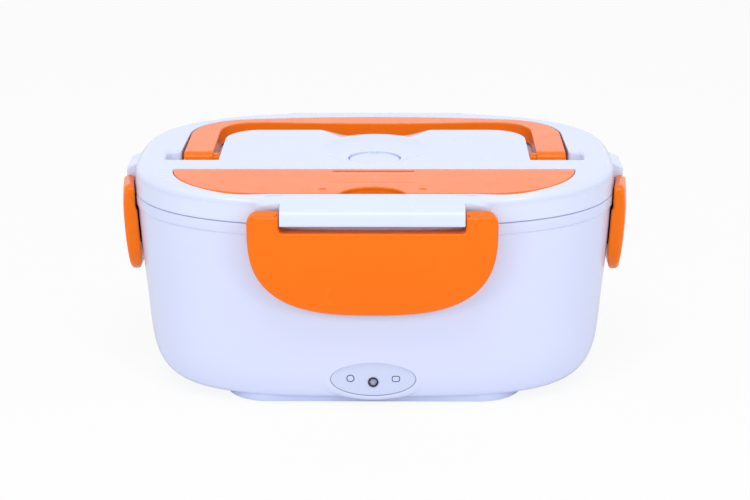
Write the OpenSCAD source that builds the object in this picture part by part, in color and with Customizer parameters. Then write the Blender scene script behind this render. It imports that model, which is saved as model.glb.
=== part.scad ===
// Electric lunch box: a heated base, a lift-out food tray with a side cup, and a double-skinned lid
// with a folding handle, a covered spoon compartment, a steam vent and four snap latches.
// Millimetres, +Z up, the origin on the table under the middle of the box, the lamp faces -Y.

/* [Box] */
// Half the length of the rim
rim_a = 112; // [110:0.5:114]
// Half the depth of the rim
rim_b = 77; // [76:0.5:78]
// Height of the top of the base's rim
rim_z = 87.2; // [86.8:0.1:87.4]
// Height of the lid's top face
top_z = 100; // [99.8:0.1:100.4]
// Height of the underside of the outer shell
floor_z = 3.9; // [3.5:0.1:4]
// Wall of the outer shell and the lid
wall = 2.2; // [1.8:0.1:2.4]

/* [Heated tub] */
// Underside of the tub's floor
tub_floor_z = 22; // [21:0.5:23]
// Wall of the tub
tub_wall = 1.8; // [1.4:0.1:2]
// Wall of the food tray and the side cup
tray_wall = 1.2; // [0.8:0.1:1.4]

/* [Handle] */
// Half the width across the handle's arms
handle_a = 89.7; // [89:0.1:90.5]
// Back of the grip, measured from the pivot
handle_reach = 64; // [63:0.5:64.5]
// Width of each arm
arm_w = 13.7; // [12:0.1:14]
// Height of the handle's cross-section
handle_h = 8; // [7:0.1:8.4]

/* [Latches] */
// Half the width of the front and back latches
long_latch_w = 54.5; // [50:0.5:56]
// Half the width of the side latches
side_latch_w = 30; // [26:0.5:32]
// Lowest point of the front and back latches
long_latch_z = 47; // [46:0.1:54]
// Lowest point of the side latches
side_latch_z = 45.8; // [45:0.1:56]

/* [Hidden] */
$fn = 64;

// Colours
WHITE = "#f2f5ff";
ORANGE = "#ff7d1a";
SILICONE = "#e4e6ea";
STEEL = "#b9bcc2";

// Facets round each lofted outline, and the play between pieces that move past each other
STEPS = 56;
GAP = 0.3;

// Base outline: it narrows towards the floor and squares up, then rolls under in a soft edge
RIM_N = 2.67;
FLOOR_N = 3.5;
LEAN_A = 6;
LEAN_B = 2.5;
SWELL_A = 3.1;
SWELL_B = 1.9;
ROLL_H = 19;
ROLL_A = 12.5;
ROLL_B = 5.4;
ROLL_P = 2.6;
RIM_BAND = 4.7;

// Lid
LID_EDGE_Z = rim_z + GAP;
LID_N = 2.84;
LID_ROUND = 4.8;
POCKET_Z = 91;
POCKET_WALL = 1.6;

// Stack at the rim, all of it inside the shell's raised lip
LIP_IN = 1.8;
LEDGE_IN = 3.9;
LEDGE_Z = 84;
FLANGE_T = 1.8;
TUB_IN = 5.9;
TUB_LOW_IN = 12.3;
SEAL_IN = 2.8;
SEAL_W = 3.8;
SEAL_Z = LEDGE_Z + FLANGE_T + 0.2;
SEAL_H = 1.9;
PLUG_IN = 7;
LINER_T = 1.4;
PAN_Z = 83.5;

// Foot ring and bottom opening, as half length, half depth and corner radius
FOOT = [68, 65, 20];
OPENING = [61, 58, 16];
POST = [50, 50];
POST_R = 3.5;
SCREW_R = 1.5;

// Heating plate
PLATE = [64, 41.5, 24];
PLATE_TOP_Z = 24.4;
PLATE_FLANGE = 4;
PLATE_FLANGE_T = 1.5;
PLATE_Z = tub_floor_z - 1;
STUD_X = 44;
PTC_T = 3.2;
CLAMP_T = 1.5;

// Lamp
LAMP_Z = 14.3;
LAMP_FACE_Y = -73.2;
LAMP_ELLIPSE = [19.2, 8];
LAMP_LENS_Z = 12.8;
BOARD_Z = LAMP_LENS_Z - 4;
// Swelling round the lamp, as depth behind its face, half length and half height
LAMP_SWELL = [[7.5, 27.8, 11.5], [2.4, 26.6, 11.2], [0.6, 22.8, 10.1], [0, 20.8, 9.1]];

// Power inlet on the back
INLET_Z = 21;
INLET_FACE_Y = 74.9;
INLET_BODY = [13, 7];
INLET_FLANGE = [17, 11];
INLET_DEPTH = 11;
PIN_X = 4.3;
PIN_R = 1.2;
FLAP_AXIS = [77.9, 32.6];

// Handle and its channel
PIVOT_Z = top_z - handle_h / 2 - 0.2;
PIVOT_R = 4.2;
TRUNNION_R = 2;
CHANNEL_FRONT_Y = -15;
GRIP_CROWN_R = 445;
GRIP_CORNER_R = 28;
ISLAND = [72.3, 39, 16.5];
SPREAD_POCKET_X = 97.3;

// Spoon cover
COVER_X = 50.5;
COVER_R = 41;
COVER_Y = -28;
COVER_BACK_Y = -29.7;
COVER_TIP_R = 3;
COVER_T = 2;
COVER_SKIRT = 3.5;

// Steam vent
VENT_Y = -6.5;
VENT_R = 11.5;
VENT_STEM_R = 4.1;
DISH_Y = 5;
DISH_R = 25.5;
DISH_DEPTH = 1.2;

// Latches: distance from the box's middle and height of each pivot, then the ears' round tops
LONG_PIVOT = [81.1, 93.1];
SIDE_PIVOT = [114, 89.5];
LONG_EAR_R = 2.7;
SIDE_EAR_R = 2;
STUB_R = 1.1;
STUB_L = 3;
EAR_LONG = 14;
EAR_SIDE = 19.5;
LONG_SLOT_Z = 86.1;
SIDE_SLOT_Z = 85;
// Lugs: centre and radius of the rounding at the outer edge, and the lower face
LONG_CROWN = [81.1, 93.1];
SIDE_CROWN = [114.6, 94];
LONG_CROWN_R = 2.6;
SIDE_CROWN_R = 1.2;
LONG_LUG_Z = 89.1;
SIDE_LUG_Z = 87.7;
LUG_SLOPE = 25;
SKIN = 2.5;
HOOK_Z = 77.5;
// Outer faces, how far they lean in at the top, and the curve of their plan
LONG_FACE = 84;
SIDE_FACE = 118.2;
SIDE_LEAN = 1.5;
BELLY = 3.4;
LONG_CURVE_R = 2500;
SIDE_CURVE_R = 142;
LATCH_N = 2.8;

// ---- outlines ---------------------------------------------------------------------------------

function sign_of(v) = v < 0 ? -1 : 1;
function power(v, p) = sign_of(v) * pow(abs(v), p);
// One ring of a loft: height, half length, half depth and squareness
function ring_points(ring) = [for (i = [0:STEPS - 1]) let (t = 360 * (i + 0.5) / STEPS)
    [ring[1] * power(cos(t), 2 / ring[3]), ring[2] * power(sin(t), 2 / ring[3]), ring[0]]];

module loft(rings) {
    points = [for (ring = rings) each ring_points(ring)];
    last = len(rings) - 1;
    bottom = [[for (i = [0:STEPS - 1]) i]];
    top = [[for (i = [STEPS - 1:-1:0]) i + last * STEPS]];
    sides = [for (r = [0:last - 1], i = [0:STEPS - 1])
        let (a = r * STEPS + i, b = r * STEPS + (i + 1) % STEPS)
        each [[a, a + STEPS, b + STEPS], [a, b + STEPS, b]]];
    polyhedron(points = points, faces = concat(bottom, sides, top), convexity = 6);
}

function depth_ratio(z) = (rim_z - z) / (rim_z - floor_z);
function body_a(z) = rim_a - LEAN_A * depth_ratio(z) - SWELL_A * pow(depth_ratio(z), 2);
function body_b(z) = rim_b - LEAN_B * depth_ratio(z) - SWELL_B * pow(depth_ratio(z), 2);
function body_n(z) = RIM_N + (FLOOR_N - RIM_N) * max(0, depth_ratio(z));
// How far the rolled-under bottom edge has turned in at height z, from 0 to 1
function roll(z, start) = let (k = min(1, max(0, 1 - (z - start) / ROLL_H)))
    1 - pow(1 - pow(k, ROLL_P), 1 / ROLL_P);
function body_ring(z, inset) = [z, body_a(z) - inset, body_b(z) - inset, body_n(z)];
function rolled_ring(z, inset, start) = [z, body_a(z) - inset - ROLL_A * roll(z, start),
    body_b(z) - inset - ROLL_B * roll(z, start), body_n(z)];
function roll_heights(start) = [for (u = [0, 0.04, 0.13, 0.3, 0.6, 1]) start + ROLL_H * u];

// The lid leans in a little and rounds over into its flat top
function lid_ring(z, inset) = let (
        arc_z = top_z - LID_ROUND,
        up = max(0, z - arc_z) / LID_ROUND,
        round_in = LID_ROUND * (1 - sqrt(max(0, 1 - up * up))),
        lean = 0.09 * (min(z, arc_z) - LID_EDGE_Z))
    [z, rim_a - lean - round_in - inset, rim_b - lean - round_in - inset,
        RIM_N + (LID_N - RIM_N) * up];

// ---- plane shapes -----------------------------------------------------------------------------

module rounded_plate(half, grow = 0) {
    a = half[0] + grow;
    b = half[1] + grow;
    r = half[2] + grow;
    square([2 * (a - r), 2 * b], center = true);
    square([2 * a, 2 * (b - r)], center = true);
    for (x = [-1, 1], y = [-1, 1])
        translate([x * (a - r), y * (b - r)]) circle(r);
}

module ellipse(half, grow = 0) {
    polygon([for (i = [0:47]) let (t = 7.5 * i)
        [(half[0] + grow) * cos(t), (half[1] + grow) * sin(t)]]);
}

module slab(z, h) {
    translate([0, 0, z]) linear_extrude(h) children();
}

// Outer edge of the handle: straight arms, round corners and a crowned back
module handle_outline(grow, front_y) {
    corner_x = handle_a - GRIP_CORNER_R;
    corner_y = handle_reach - 32.5;
    intersection() {
        union() {
            translate([-handle_a - grow, front_y])
                square([2 * (handle_a + grow), corner_y - front_y]);
            translate([-corner_x, front_y])
                square([2 * corner_x, handle_reach + grow - front_y]);
            for (x = [-1, 1])
                translate([x * corner_x, corner_y]) circle(GRIP_CORNER_R + grow);
        }
        translate([0, handle_reach - GRIP_CROWN_R]) circle(GRIP_CROWN_R + grow, $fn = 360);
    }
}

// Raised middle of the lid, inside the handle
module island_outline(grow) {
    a = ISLAND[0] + grow;
    b = ISLAND[1] + grow;
    r = ISLAND[2] + grow;
    front_y = CHANNEL_FRONT_Y - 10;
    translate([-a, front_y]) square([2 * a, b - r - front_y]);
    translate([-(a - r), front_y]) square([2 * (a - r), b - front_y]);
    for (x = [-1, 1])
        translate([x * (a - r), b - r]) circle(r);
}

module channel_outline(outer_grow, island_grow) {
    intersection() {
        difference() {
            union() {
                handle_outline(outer_grow, CHANNEL_FRONT_Y - 10);
                translate([-SPREAD_POCKET_X - outer_grow + 1.4, CHANNEL_FRONT_Y - 10])
                    square([2 * (SPREAD_POCKET_X + outer_grow - 1.4),
                        8.6 - CHANNEL_FRONT_Y + outer_grow]);
            }
            island_outline(island_grow);
        }
        translate([-120, CHANNEL_FRONT_Y - outer_grow + 1.4]) square([240, 120]);
    }
}

// D-shaped outline of the spoon cover
module cover_outline(grow) {
    half = COVER_X + COVER_R + grow;
    front_y = COVER_Y - COVER_R - grow;
    back_y = COVER_BACK_Y + grow;
    tip = COVER_TIP_R + grow;
    intersection() {
        union() {
            translate([-COVER_X, front_y]) square([2 * COVER_X, back_y - front_y]);
            for (x = [-1, 1])
                translate([x * COVER_X, COVER_Y]) circle(COVER_R + grow, $fn = 96);
        }
        union() {
            translate([-half, front_y]) square([2 * half, back_y - tip - front_y]);
            translate([tip - half, front_y]) square([2 * (half - tip), back_y - front_y]);
            for (x = [-1, 1])
                translate([x * (half - tip), back_y - tip]) circle(tip);
        }
    }
}

module along_x(x, length) {
    translate([x, 0, 0]) rotate([90, 0, 90]) linear_extrude(length) children();
}

// ---- base -------------------------------------------------------------------------------------

module facing_y(y, depth) {
    translate([0, y, 0]) rotate([90, 0, 0]) linear_extrude(depth) children();
}

module outer_shell() {
    color(WHITE) {
        shell_body();
        // Slotted posts that hold the lamp's board by its lower corners
        for (x = [-7.5, 7.5])
            difference() {
                translate([x - 1.5, LAMP_FACE_Y + 9.8, floor_z + 1]) cube([3, 4, 7]);
                translate([x - 2, LAMP_FACE_Y + 10.95, BOARD_Z]) cube([4, 1.5, 10]);
            }
    }
}

module shell_body() {
    difference() {
        union() {
            loft(concat(
                [for (z = roll_heights(floor_z)) rolled_ring(z, 0, floor_z)],
                [for (z = [45, 65, rim_z - RIM_BAND - 0.6]) body_ring(z, 0.5)],
                [[rim_z - RIM_BAND, rim_a, rim_b, RIM_N], [rim_z - 0.5, rim_a, rim_b, RIM_N],
                    [rim_z, rim_a - 0.4, rim_b - 0.4, RIM_N]]));
            translate([0, LAMP_FACE_Y, LAMP_Z]) rotate([90, 0, 0])
                loft([for (ring = LAMP_SWELL) [-ring[0], ring[1], ring[2], 2]]);
            facing_y(INLET_FACE_Y, 4) translate([0, INLET_Z])
                rounded_plate([INLET_FLANGE[0] + 1, INLET_FLANGE[1] + 1, 4]);
        }
        loft(concat(
            [for (z = roll_heights(floor_z + wall)) rolled_ring(z, wall + 0.5, floor_z + wall)],
            [body_ring(60, wall + 0.5), body_ring(77, wall + 0.5), body_ring(80, LEDGE_IN),
                body_ring(LEDGE_Z, LEDGE_IN), body_ring(LEDGE_Z, LIP_IN),
                body_ring(rim_z + 1, LIP_IN)]));
        slab(0, 12) rounded_plate(OPENING);
        facing_y(LAMP_FACE_Y + 0.9, 3) translate([0, LAMP_Z]) ellipse(LAMP_ELLIPSE, 0.1);
        translate([0, LAMP_FACE_Y + 14, LAMP_LENS_Z]) rotate([90, 0, 0]) cylinder(h = 16, r = 2.6);
        facing_y(INLET_FACE_Y + 1, 12) translate([0, INLET_Z])
            rounded_plate([INLET_BODY[0] + 0.1, INLET_BODY[1] + 0.1, 3]);
    }
}

// Inner face of the tub, pulled in towards its floor and rounded into it
function tub_in(z) = TUB_IN + (TUB_LOW_IN - TUB_IN) * (LEDGE_Z - z) / (LEDGE_Z - tub_floor_z);
function bowl_rings(floor, inset, round, top) = concat(
    [for (s = [0, 0.35, 0.75]) let (z = floor + round * (1 - cos(90 * s)))
        body_ring(z, inset + tub_in(z) + round * (1 - sin(90 * s)))],
    [for (z = [floor + round, 50, top]) body_ring(z, inset + tub_in(z))]);

module inner_liner() {
    color(WHITE)
    difference() {
        union() {
            loft(bowl_rings(tub_floor_z, -tub_wall, 9, LEDGE_Z));
            loft([body_ring(LEDGE_Z, LIP_IN + 0.1), body_ring(LEDGE_Z + FLANGE_T, LIP_IN + 0.1)]);
            for (x = [-1, 1], y = [-1, 1])
                translate([x * POST[0], y * POST[1], 4]) cylinder(h = 20, r = POST_R);
        }
        loft(bowl_rings(tub_floor_z + tub_wall, 0, 8, LEDGE_Z + FLANGE_T + 1));
        slab(tub_floor_z - 5, 9) rounded_plate(PLATE, 0.2);
        for (x = [-1, 1], y = [-1, 1])
            translate([x * POST[0], y * POST[1], 3]) cylinder(h = 14, r = SCREW_R + 0.05);
    }
}

module bottom_cover() {
    color(WHITE)
    difference() {
        union() {
            slab(0, floor_z) rounded_plate(FOOT);
            slab(floor_z, 2) rounded_plate(OPENING, -0.3);
        }
        slab(-1, 3) rounded_plate(FOOT, -2.6);
        slab(floor_z, 3) rounded_plate(OPENING, -1.9);
        for (x = [-1, 1], y = [-1, 1])
            translate([x * POST[0], y * POST[1], 0]) cylinder(h = 6, r = SCREW_R + 0.3);
    }
}

module bottom_screws() {
    color(STEEL)
    for (x = [-1, 1], y = [-1, 1])
        translate([x * POST[0], y * POST[1], 0.5])
            difference() {
                union() {
                    cylinder(h = 1.5, r = 2.8);
                    translate([0, 0, 1.5]) cylinder(h = 12, r = SCREW_R);
                }
                for (turn = [0, 90])
                    rotate(turn) translate([-1.6, -0.35, -0.1]) cube([3.2, 0.7, 0.9]);
            }
}

module heating_plate() {
    color("#c9ccd1")
    difference() {
        union() {
            slab(PLATE_Z, PLATE_TOP_Z - PLATE_Z) rounded_plate(PLATE);
            slab(PLATE_Z - PLATE_FLANGE_T, PLATE_FLANGE_T) rounded_plate(PLATE, PLATE_FLANGE);
            for (x = [-1, 1])
                translate([x * STUD_X, 0, PLATE_Z - PLATE_FLANGE_T - 3.2]) cylinder(h = 4, r = 3.2);
        }
        for (x = [-1, 1])
            translate([x * STUD_X, 0, 14]) cylinder(h = 8, r = SCREW_R + 0.05);
        // Two stiffening grooves run round the face that the tray stands on
        for (grow = [-6, -16])
            slab(PLATE_TOP_Z - 0.5, 1)
                difference() {
                    rounded_plate(PLATE, grow);
                    rounded_plate(PLATE, grow - 1.6);
                }
    }
}

module plate_seal() {
    color(SILICONE)
    slab(PLATE_Z, tub_floor_z - PLATE_Z)
        difference() {
            rounded_plate(PLATE, PLATE_FLANGE);
            rounded_plate(PLATE, 0.3);
        }
}

PTC_Z = PLATE_Z - PLATE_FLANGE_T - PTC_T;

module ptc_heaters() {
    color("#8d8a86")
    for (x = [-20, 20])
        translate([x - 16, -10, PTC_Z]) cube([32, 20, PTC_T]);
}

module heater_clamp() {
    color(STEEL)
    difference() {
        union() {
            translate([-38, -8, PTC_Z - CLAMP_T]) cube([76, 16, CLAMP_T]);
            for (x = [-1, 1])
                translate([x * STUD_X, 0, PTC_Z - CLAMP_T]) cylinder(h = CLAMP_T, r = 8);
        }
        for (x = [-1, 1])
            translate([x * STUD_X, 0, PTC_Z - 4]) cylinder(h = 8, r = SCREW_R + 0.2);
    }
}

module clamp_screws() {
    color(STEEL)
    for (x = [-1, 1])
        translate([x * STUD_X, 0, PTC_Z - CLAMP_T - 2]) {
            cylinder(h = 2, r = 2.8);
            translate([0, 0, 2]) cylinder(h = 6, r = SCREW_R);
        }
}

THERMOSTAT_Y = 26;

module thermostat() {
    color("#3a3a3c") {
        translate([0, THERMOSTAT_Y, PLATE_Z - PLATE_FLANGE_T - 5]) cylinder(h = 5, r = 8);
        translate([0, THERMOSTAT_Y, PLATE_Z - PLATE_FLANGE_T - 8]) cylinder(h = 3, r = 6);
    }
}

FUSE_Y = -20;

module thermal_fuse() {
    color("#d8b15a")
    along_x(-7, 14) translate([FUSE_Y, PLATE_Z - PLATE_FLANGE_T - 2.2]) circle(2.2);
}

// A round lead swept along its route with eight sides
function unit(v) = v / norm(v);
function tangent(route, i) = unit(route[min(i + 1, len(route) - 1)] - route[max(i - 1, 0)]);
function lead_ring(route, r, i) = let (
        t = tangent(route, i),
        side = unit(cross(t, abs(t[2]) > 0.9 ? [1, 0, 0] : [0, 0, 1])),
        up = cross(side, t))
    [for (k = [0:7]) route[i] + r * (side * cos(45 * k) + up * sin(45 * k))];

module lead(route, r) {
    rings = len(route);
    points = [for (i = [0:rings - 1]) each lead_ring(route, r, i)];
    sides = [for (i = [0:rings - 2], k = [0:7])
        let (a = 8 * i + k, b = 8 * i + (k + 1) % 8)
        each [[a, b + 8, a + 8], [a, b, b + 8]]];
    ends = [[for (k = [7:-1:0]) k], [for (k = [0:7]) 8 * (rings - 1) + k]];
    polyhedron(points = points, faces = concat(sides, ends), convexity = 6);
}

LEAD_R = 1;
// Live lead: inlet pin, thermal cut-out, fuse and first heater. Neutral lead: pin to second heater.
LIVE_ROUTE = [[-4.3, 62.5, 19], [-5, 59, 16], [-7, 54, 12], [-9, 46, 10], [-10, 38, 9], [-12, 26, 9],
    [-14, 8, 10], [-16, -10, 10], [-14, -17, 11], [-10, -20, 14]];
NEUTRAL_ROUTE = [[4.3, 62.5, 19], [5, 59, 16], [8, 54, 12], [16, 46, 9], [24, 34, 9], [28, 22, 10],
    [28, 15, 12], [28, 12.5, 15]];

module heater_leads() {
    color("#c8352c") lead(LIVE_ROUTE, LEAD_R);
    color("#2f5fa8") lead(NEUTRAL_ROUTE, LEAD_R);
}

LAMP_ROUTE = [[0, -55, 12], [1, -50, 11], [6, -44, 9], [16, -36, 8.5], [30, -24, 8.5], [38, -14, 9],
    [37, -6, 10]];

module lamp_leads() {
    color("#f0f0f0")
    for (x = [-1.5, 1.5])
        translate([x, 0, 0]) lead(LAMP_ROUTE, 0.6);
}

module lamp_panel() {
    color("#dfe4f4")
    difference() {
        facing_y(LAMP_FACE_Y + 0.9, 0.7) translate([0, LAMP_Z]) ellipse(LAMP_ELLIPSE);
        translate([0, LAMP_FACE_Y + 2, LAMP_LENS_Z]) rotate([90, 0, 0]) cylinder(h = 4, r = 2.4);
    }
}

module lamp_bezel() {
    color("#20242c")
    translate([0, LAMP_FACE_Y + 6, LAMP_LENS_Z]) rotate([90, 0, 0])
        difference() {
            cylinder(h = 6.2, r = 2.3);
            translate([0, 0, -1]) cylinder(h = 9, r = 1.65);
        }
}

module lamp_lens() {
    color("#dbe6ff")
    translate([0, LAMP_FACE_Y + 4, LAMP_LENS_Z]) rotate([90, 0, 0])
        rotate_extrude() polygon([[0, 0], [1.6, 0], [1.6, 3.8], [1.2, 4.1], [0.6, 4.25], [0, 4.3]]);
}

module lamp_led() {
    color("#ffd0b0")
    translate([0, LAMP_FACE_Y + 11, LAMP_LENS_Z]) rotate([90, 0, 0]) {
        cylinder(h = 5.5, r = 1.5);
        cylinder(h = 1, r = 1.9);
    }
}

module lamp_board() {
    color("#3f8a4f")
    translate([-9, LAMP_FACE_Y + 11, BOARD_Z]) cube([18, 1.4, 8]);
}

module inlet_socket() {
    color("#f4f6fb")
    difference() {
        union() {
            facing_y(INLET_FACE_Y + 1.5, 1.5) translate([0, INLET_Z])
                rounded_plate([INLET_FLANGE[0], INLET_FLANGE[1], 4]);
            facing_y(INLET_FACE_Y + 0.5, INLET_DEPTH) translate([0, INLET_Z])
                rounded_plate([INLET_BODY[0], INLET_BODY[1], 3]);
            for (x = [-1, 1])
                along_x(x * 10 - 1.5, 3) {
                    translate(FLAP_AXIS) circle(1.5);
                    translate([INLET_FACE_Y, FLAP_AXIS[1] - 3]) square([1.5, 3]);
                    translate([INLET_FACE_Y, FLAP_AXIS[1] - 1.5]) square([3, 3]);
                }
            along_x(-9, 18) translate(FLAP_AXIS) circle(0.8);
        }
        facing_y(INLET_FACE_Y + 3, INLET_DEPTH + 1) translate([0, INLET_Z])
            rounded_plate([INLET_BODY[0] - 2, INLET_BODY[1] - 2, 2]);
        for (x = [-1, 1])
            translate([x * PIN_X, 60, INLET_Z]) rotate([-90, 0, 0]) cylinder(h = 9, r = PIN_R);
    }
}

module inlet_pins() {
    color("#d9c27a")
    for (x = [-1, 1])
        translate([x * PIN_X, INLET_FACE_Y - INLET_DEPTH - 2, INLET_Z]) rotate([-90, 0, 0]) {
            cylinder(h = INLET_DEPTH + 0.5, r = PIN_R);
            translate([0, 0, INLET_DEPTH + 0.5]) cylinder(h = 0.6, r1 = PIN_R, r2 = PIN_R - 0.5);
        }
}

module inlet_flap() {
    color(ORANGE)
    difference() {
        union() {
            facing_y(INLET_FACE_Y + 3.8, 2) translate([0, INLET_Z])
                rounded_plate([INLET_FLANGE[0], INLET_FLANGE[1], 4]);
            along_x(-8.1, 16.2) {
                translate(FLAP_AXIS) circle(1.6);
                translate([INLET_FACE_Y + 1.8, INLET_Z + 6]) square([2, FLAP_AXIS[1] - INLET_Z - 6]);
            }
            // Pull tab
            facing_y(INLET_FACE_Y + 3.8, 2) translate([-5, INLET_Z - INLET_FLANGE[1] - 2.5])
                square([10, 4]);
        }
        along_x(-20, 40) translate(FLAP_AXIS) circle(0.85);
        for (x = [-1, 1])
            along_x(x * 10 - 1.8, 3.6) translate(FLAP_AXIS) circle(2.1);
    }
}

// ---- what the tub holds -----------------------------------------------------------------------

TRAY_Z = PLATE_TOP_Z + 0.2;
TRAY_TOP_Z = 80.5;
TRAY_IN = 2.4;
DIVIDER_X = 34;

module food_tray() {
    color("#e9ecf4")
    union() {
        difference() {
            union() {
                loft(bowl_rings(TRAY_Z, TRAY_IN, 9, TRAY_TOP_Z));
                loft([body_ring(TRAY_TOP_Z - 1.6, tub_in(TRAY_TOP_Z) + 0.8),
                    body_ring(TRAY_TOP_Z, tub_in(TRAY_TOP_Z) + 0.8)]);
            }
            loft(bowl_rings(TRAY_Z + tray_wall, TRAY_IN + tray_wall, 8, TRAY_TOP_Z + 1));
        }
        intersection() {
            loft(bowl_rings(TRAY_Z, TRAY_IN + 0.3, 9, 70));
            translate([DIVIDER_X, -90, TRAY_Z]) cube([tray_wall, 180, 60]);
        }
    }
}

CUP_IN = TRAY_IN + tray_wall + 1;
CUP_Z = TRAY_Z + tray_wall + 0.2;
CUP_TOP_Z = 77;

module side_cup() {
    color("#eef1f8")
    intersection() {
        difference() {
            union() {
                loft(bowl_rings(CUP_Z, CUP_IN, 8, CUP_TOP_Z));
                loft([body_ring(CUP_TOP_Z - 1.4, tub_in(CUP_TOP_Z) + TRAY_IN + tray_wall + 0.5),
                    body_ring(CUP_TOP_Z, tub_in(CUP_TOP_Z) + TRAY_IN + tray_wall + 0.5)]);
            }
            difference() {
                loft(bowl_rings(CUP_Z + tray_wall, CUP_IN + tray_wall, 7, CUP_TOP_Z + 1));
                translate([-120, -90, 0]) cube([120 + DIVIDER_X + 3.2, 180, 120]);
            }
        }
        translate([DIVIDER_X + tray_wall + 0.8, -90, 0]) cube([90, 180, 120]);
    }
}

// ---- lid --------------------------------------------------------------------------------------

// Cross-section of a latch's lug, as distance from the box's middle against height: its top
// slopes down from the lid and rounds over into the upright front
module lug_section(crown, r, low_z) {
    touch = crown + r * [sin(LUG_SLOPE), cos(LUG_SLOPE)];
    root_x = crown[0] - 10;
    intersection() {
        polygon([[root_x, low_z], [root_x, touch[1] + (touch[0] - root_x) * tan(LUG_SLOPE)],
            touch, crown + [r, 0], [crown[0] + r, low_z + 1.5], [crown[0] + r - 1.5, low_z]]);
        translate([root_x, low_z]) square([20, top_z - low_z]);
    }
    translate(crown) circle(r);
    translate([crown[0] + r - 1.5, low_z + 1.5]) circle(1.5);
}

// Turns a piece made for the +X side to face the front, right, back or left
module on_side(turn) {
    rotate(turn) children();
}

module along_y(length) {
    rotate([90, 0, 0]) translate([0, 0, -length / 2]) linear_extrude(length) children();
}

LONG_EAR_IN = long_latch_w - EAR_LONG;
SIDE_EAR_IN = side_latch_w - EAR_SIDE;

module lug_bores(pivot, ear_in) {
    for (y = [-1, 1])
        translate([pivot[0], y * (ear_in - GAP - STUB_L), pivot[1]])
            rotate([90 * -y, 0, 0]) cylinder(h = STUB_L + 1, r = STUB_R + 0.05);
}

module scoop_section() {
    polygon(concat([[-34, 0], [-34, 6], [34, 6], [34, 0]],
        [for (x = [32:-2:-32]) let (s = min(1, (32 - abs(x)) / 20))
            [x, -3.4 * (3 * s * s - 2 * s * s * s)]]));
}

module lid_shell() {
    dish_ball = (DISH_R * DISH_R + DISH_DEPTH * DISH_DEPTH) / (2 * DISH_DEPTH);
    color(WHITE)
    difference() {
        union() {
            difference() {
                union() {
                    loft([for (z = concat([LID_EDGE_Z, top_z - LID_ROUND],
                        [for (t = [25, 50, 70, 90]) top_z - LID_ROUND * (1 - sin(t))]))
                        lid_ring(z, 0)]);
                    for (turn = [90, -90])
                        on_side(turn) along_y(2 * (LONG_EAR_IN - GAP))
                            lug_section(LONG_CROWN, LONG_CROWN_R, LONG_LUG_Z);
                    for (turn = [0, 180])
                        on_side(turn) along_y(2 * (SIDE_EAR_IN - GAP))
                            lug_section(SIDE_CROWN, SIDE_CROWN_R, SIDE_LUG_Z);
                }
                loft([lid_ring(LID_EDGE_Z - 1, wall), lid_ring(top_z - LID_ROUND, wall),
                    [top_z - wall, rim_a - 8, rim_b - 8, LID_N]]);
            }
            slab(POCKET_Z - POCKET_WALL, 8)
                channel_outline(3, -POCKET_WALL);
            slab(POCKET_Z - POCKET_WALL, 8) cover_outline(GAP + POCKET_WALL);
            translate([0, VENT_Y, PAN_Z]) cylinder(h = 15, r = VENT_STEM_R + 2.8);
            translate([0, VENT_Y, 94.4]) cylinder(h = 4, r = VENT_R + 2);
        }
        slab(POCKET_Z, 12) channel_outline(1.4, 0);
        slab(POCKET_Z, 12) cover_outline(GAP);
        translate([0, DISH_Y, top_z - DISH_DEPTH + dish_ball]) sphere(dish_ball, $fn = 100);
        translate([0, VENT_Y, 96.4]) cylinder(h = 9, r = VENT_R + GAP);
        translate([0, VENT_Y, PAN_Z - 1]) cylinder(h = 20, r = VENT_STEM_R + 0.05);
        // Scoop for the fingers behind the island
        translate([0, ISLAND[1] + 2, top_z]) rotate([-10.5, 0, 0])
            rotate([90, 0, 0]) linear_extrude(24) scoop_section();
        for (x = [-1, 1]) {
            translate([x * (ISLAND[0] + 1), 0, PIVOT_Z]) rotate([0, 90 * -x, 0])
                cylinder(h = 5, r = TRUNNION_R + 0.05);
            translate([x * (COVER_X + COVER_R - 2), COVER_BACK_Y - COVER_T, top_z - COVER_T])
                rotate([0, 90 * x, 0]) cylinder(h = 6, r = 1.05);
        }
        for (turn = [90, -90])
            on_side(turn) lug_bores(LONG_PIVOT, LONG_EAR_IN);
        for (turn = [0, 180])
            on_side(turn) lug_bores(SIDE_PIVOT, SIDE_EAR_IN);
    }
}

LINER_Z = SEAL_Z + SEAL_H;

module lid_liner() {
    color("#eef1fa")
    difference() {
        union() {
            loft([body_ring(LINER_Z, 2.6), body_ring(LINER_Z + LINER_T, 2.7)]);
            loft([body_ring(PAN_Z, PLUG_IN + 1.5), body_ring(PAN_Z + 1.5, PLUG_IN),
                body_ring(LINER_Z + 0.5, PLUG_IN)]);
        }
        loft([body_ring(PAN_Z + 1.5, PLUG_IN + 1.8), body_ring(LINER_Z + LINER_T + 1, PLUG_IN + 1.4)]);
        translate([0, VENT_Y, PAN_Z - 1]) cylinder(h = 6, r = VENT_STEM_R + 2.85);
    }
}

module lid_seal() {
    color(SILICONE)
    difference() {
        loft([body_ring(SEAL_Z, SEAL_IN + 0.7), body_ring(SEAL_Z + 0.7, SEAL_IN),
            body_ring(SEAL_Z + SEAL_H, SEAL_IN)]);
        loft([body_ring(SEAL_Z - 1, SEAL_IN + SEAL_W), body_ring(SEAL_Z + SEAL_H + 1, SEAL_IN + SEAL_W)]);
    }
}

module vent_plug() {
    color(WHITE)
    translate([0, VENT_Y, 0])
    difference() {
        rotate_extrude()
            polygon([[0, 84], [VENT_STEM_R - 0.6, 84], [VENT_STEM_R, 84.8], [VENT_STEM_R, 96.7],
                [VENT_R, 96.7], [VENT_R, 98.9], [VENT_R - 0.6, 99.3], [VENT_R - 3, 99.5], [0, 99.6]]);
        // Steam way up the stem, and a nail notch at the back of the cap
        translate([-1.2, -6, 82]) cube([2.4, 12, 9]);
        translate([0, VENT_R + 1.5, 96]) cylinder(h = 6, r = 3.2);
    }
}

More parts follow.
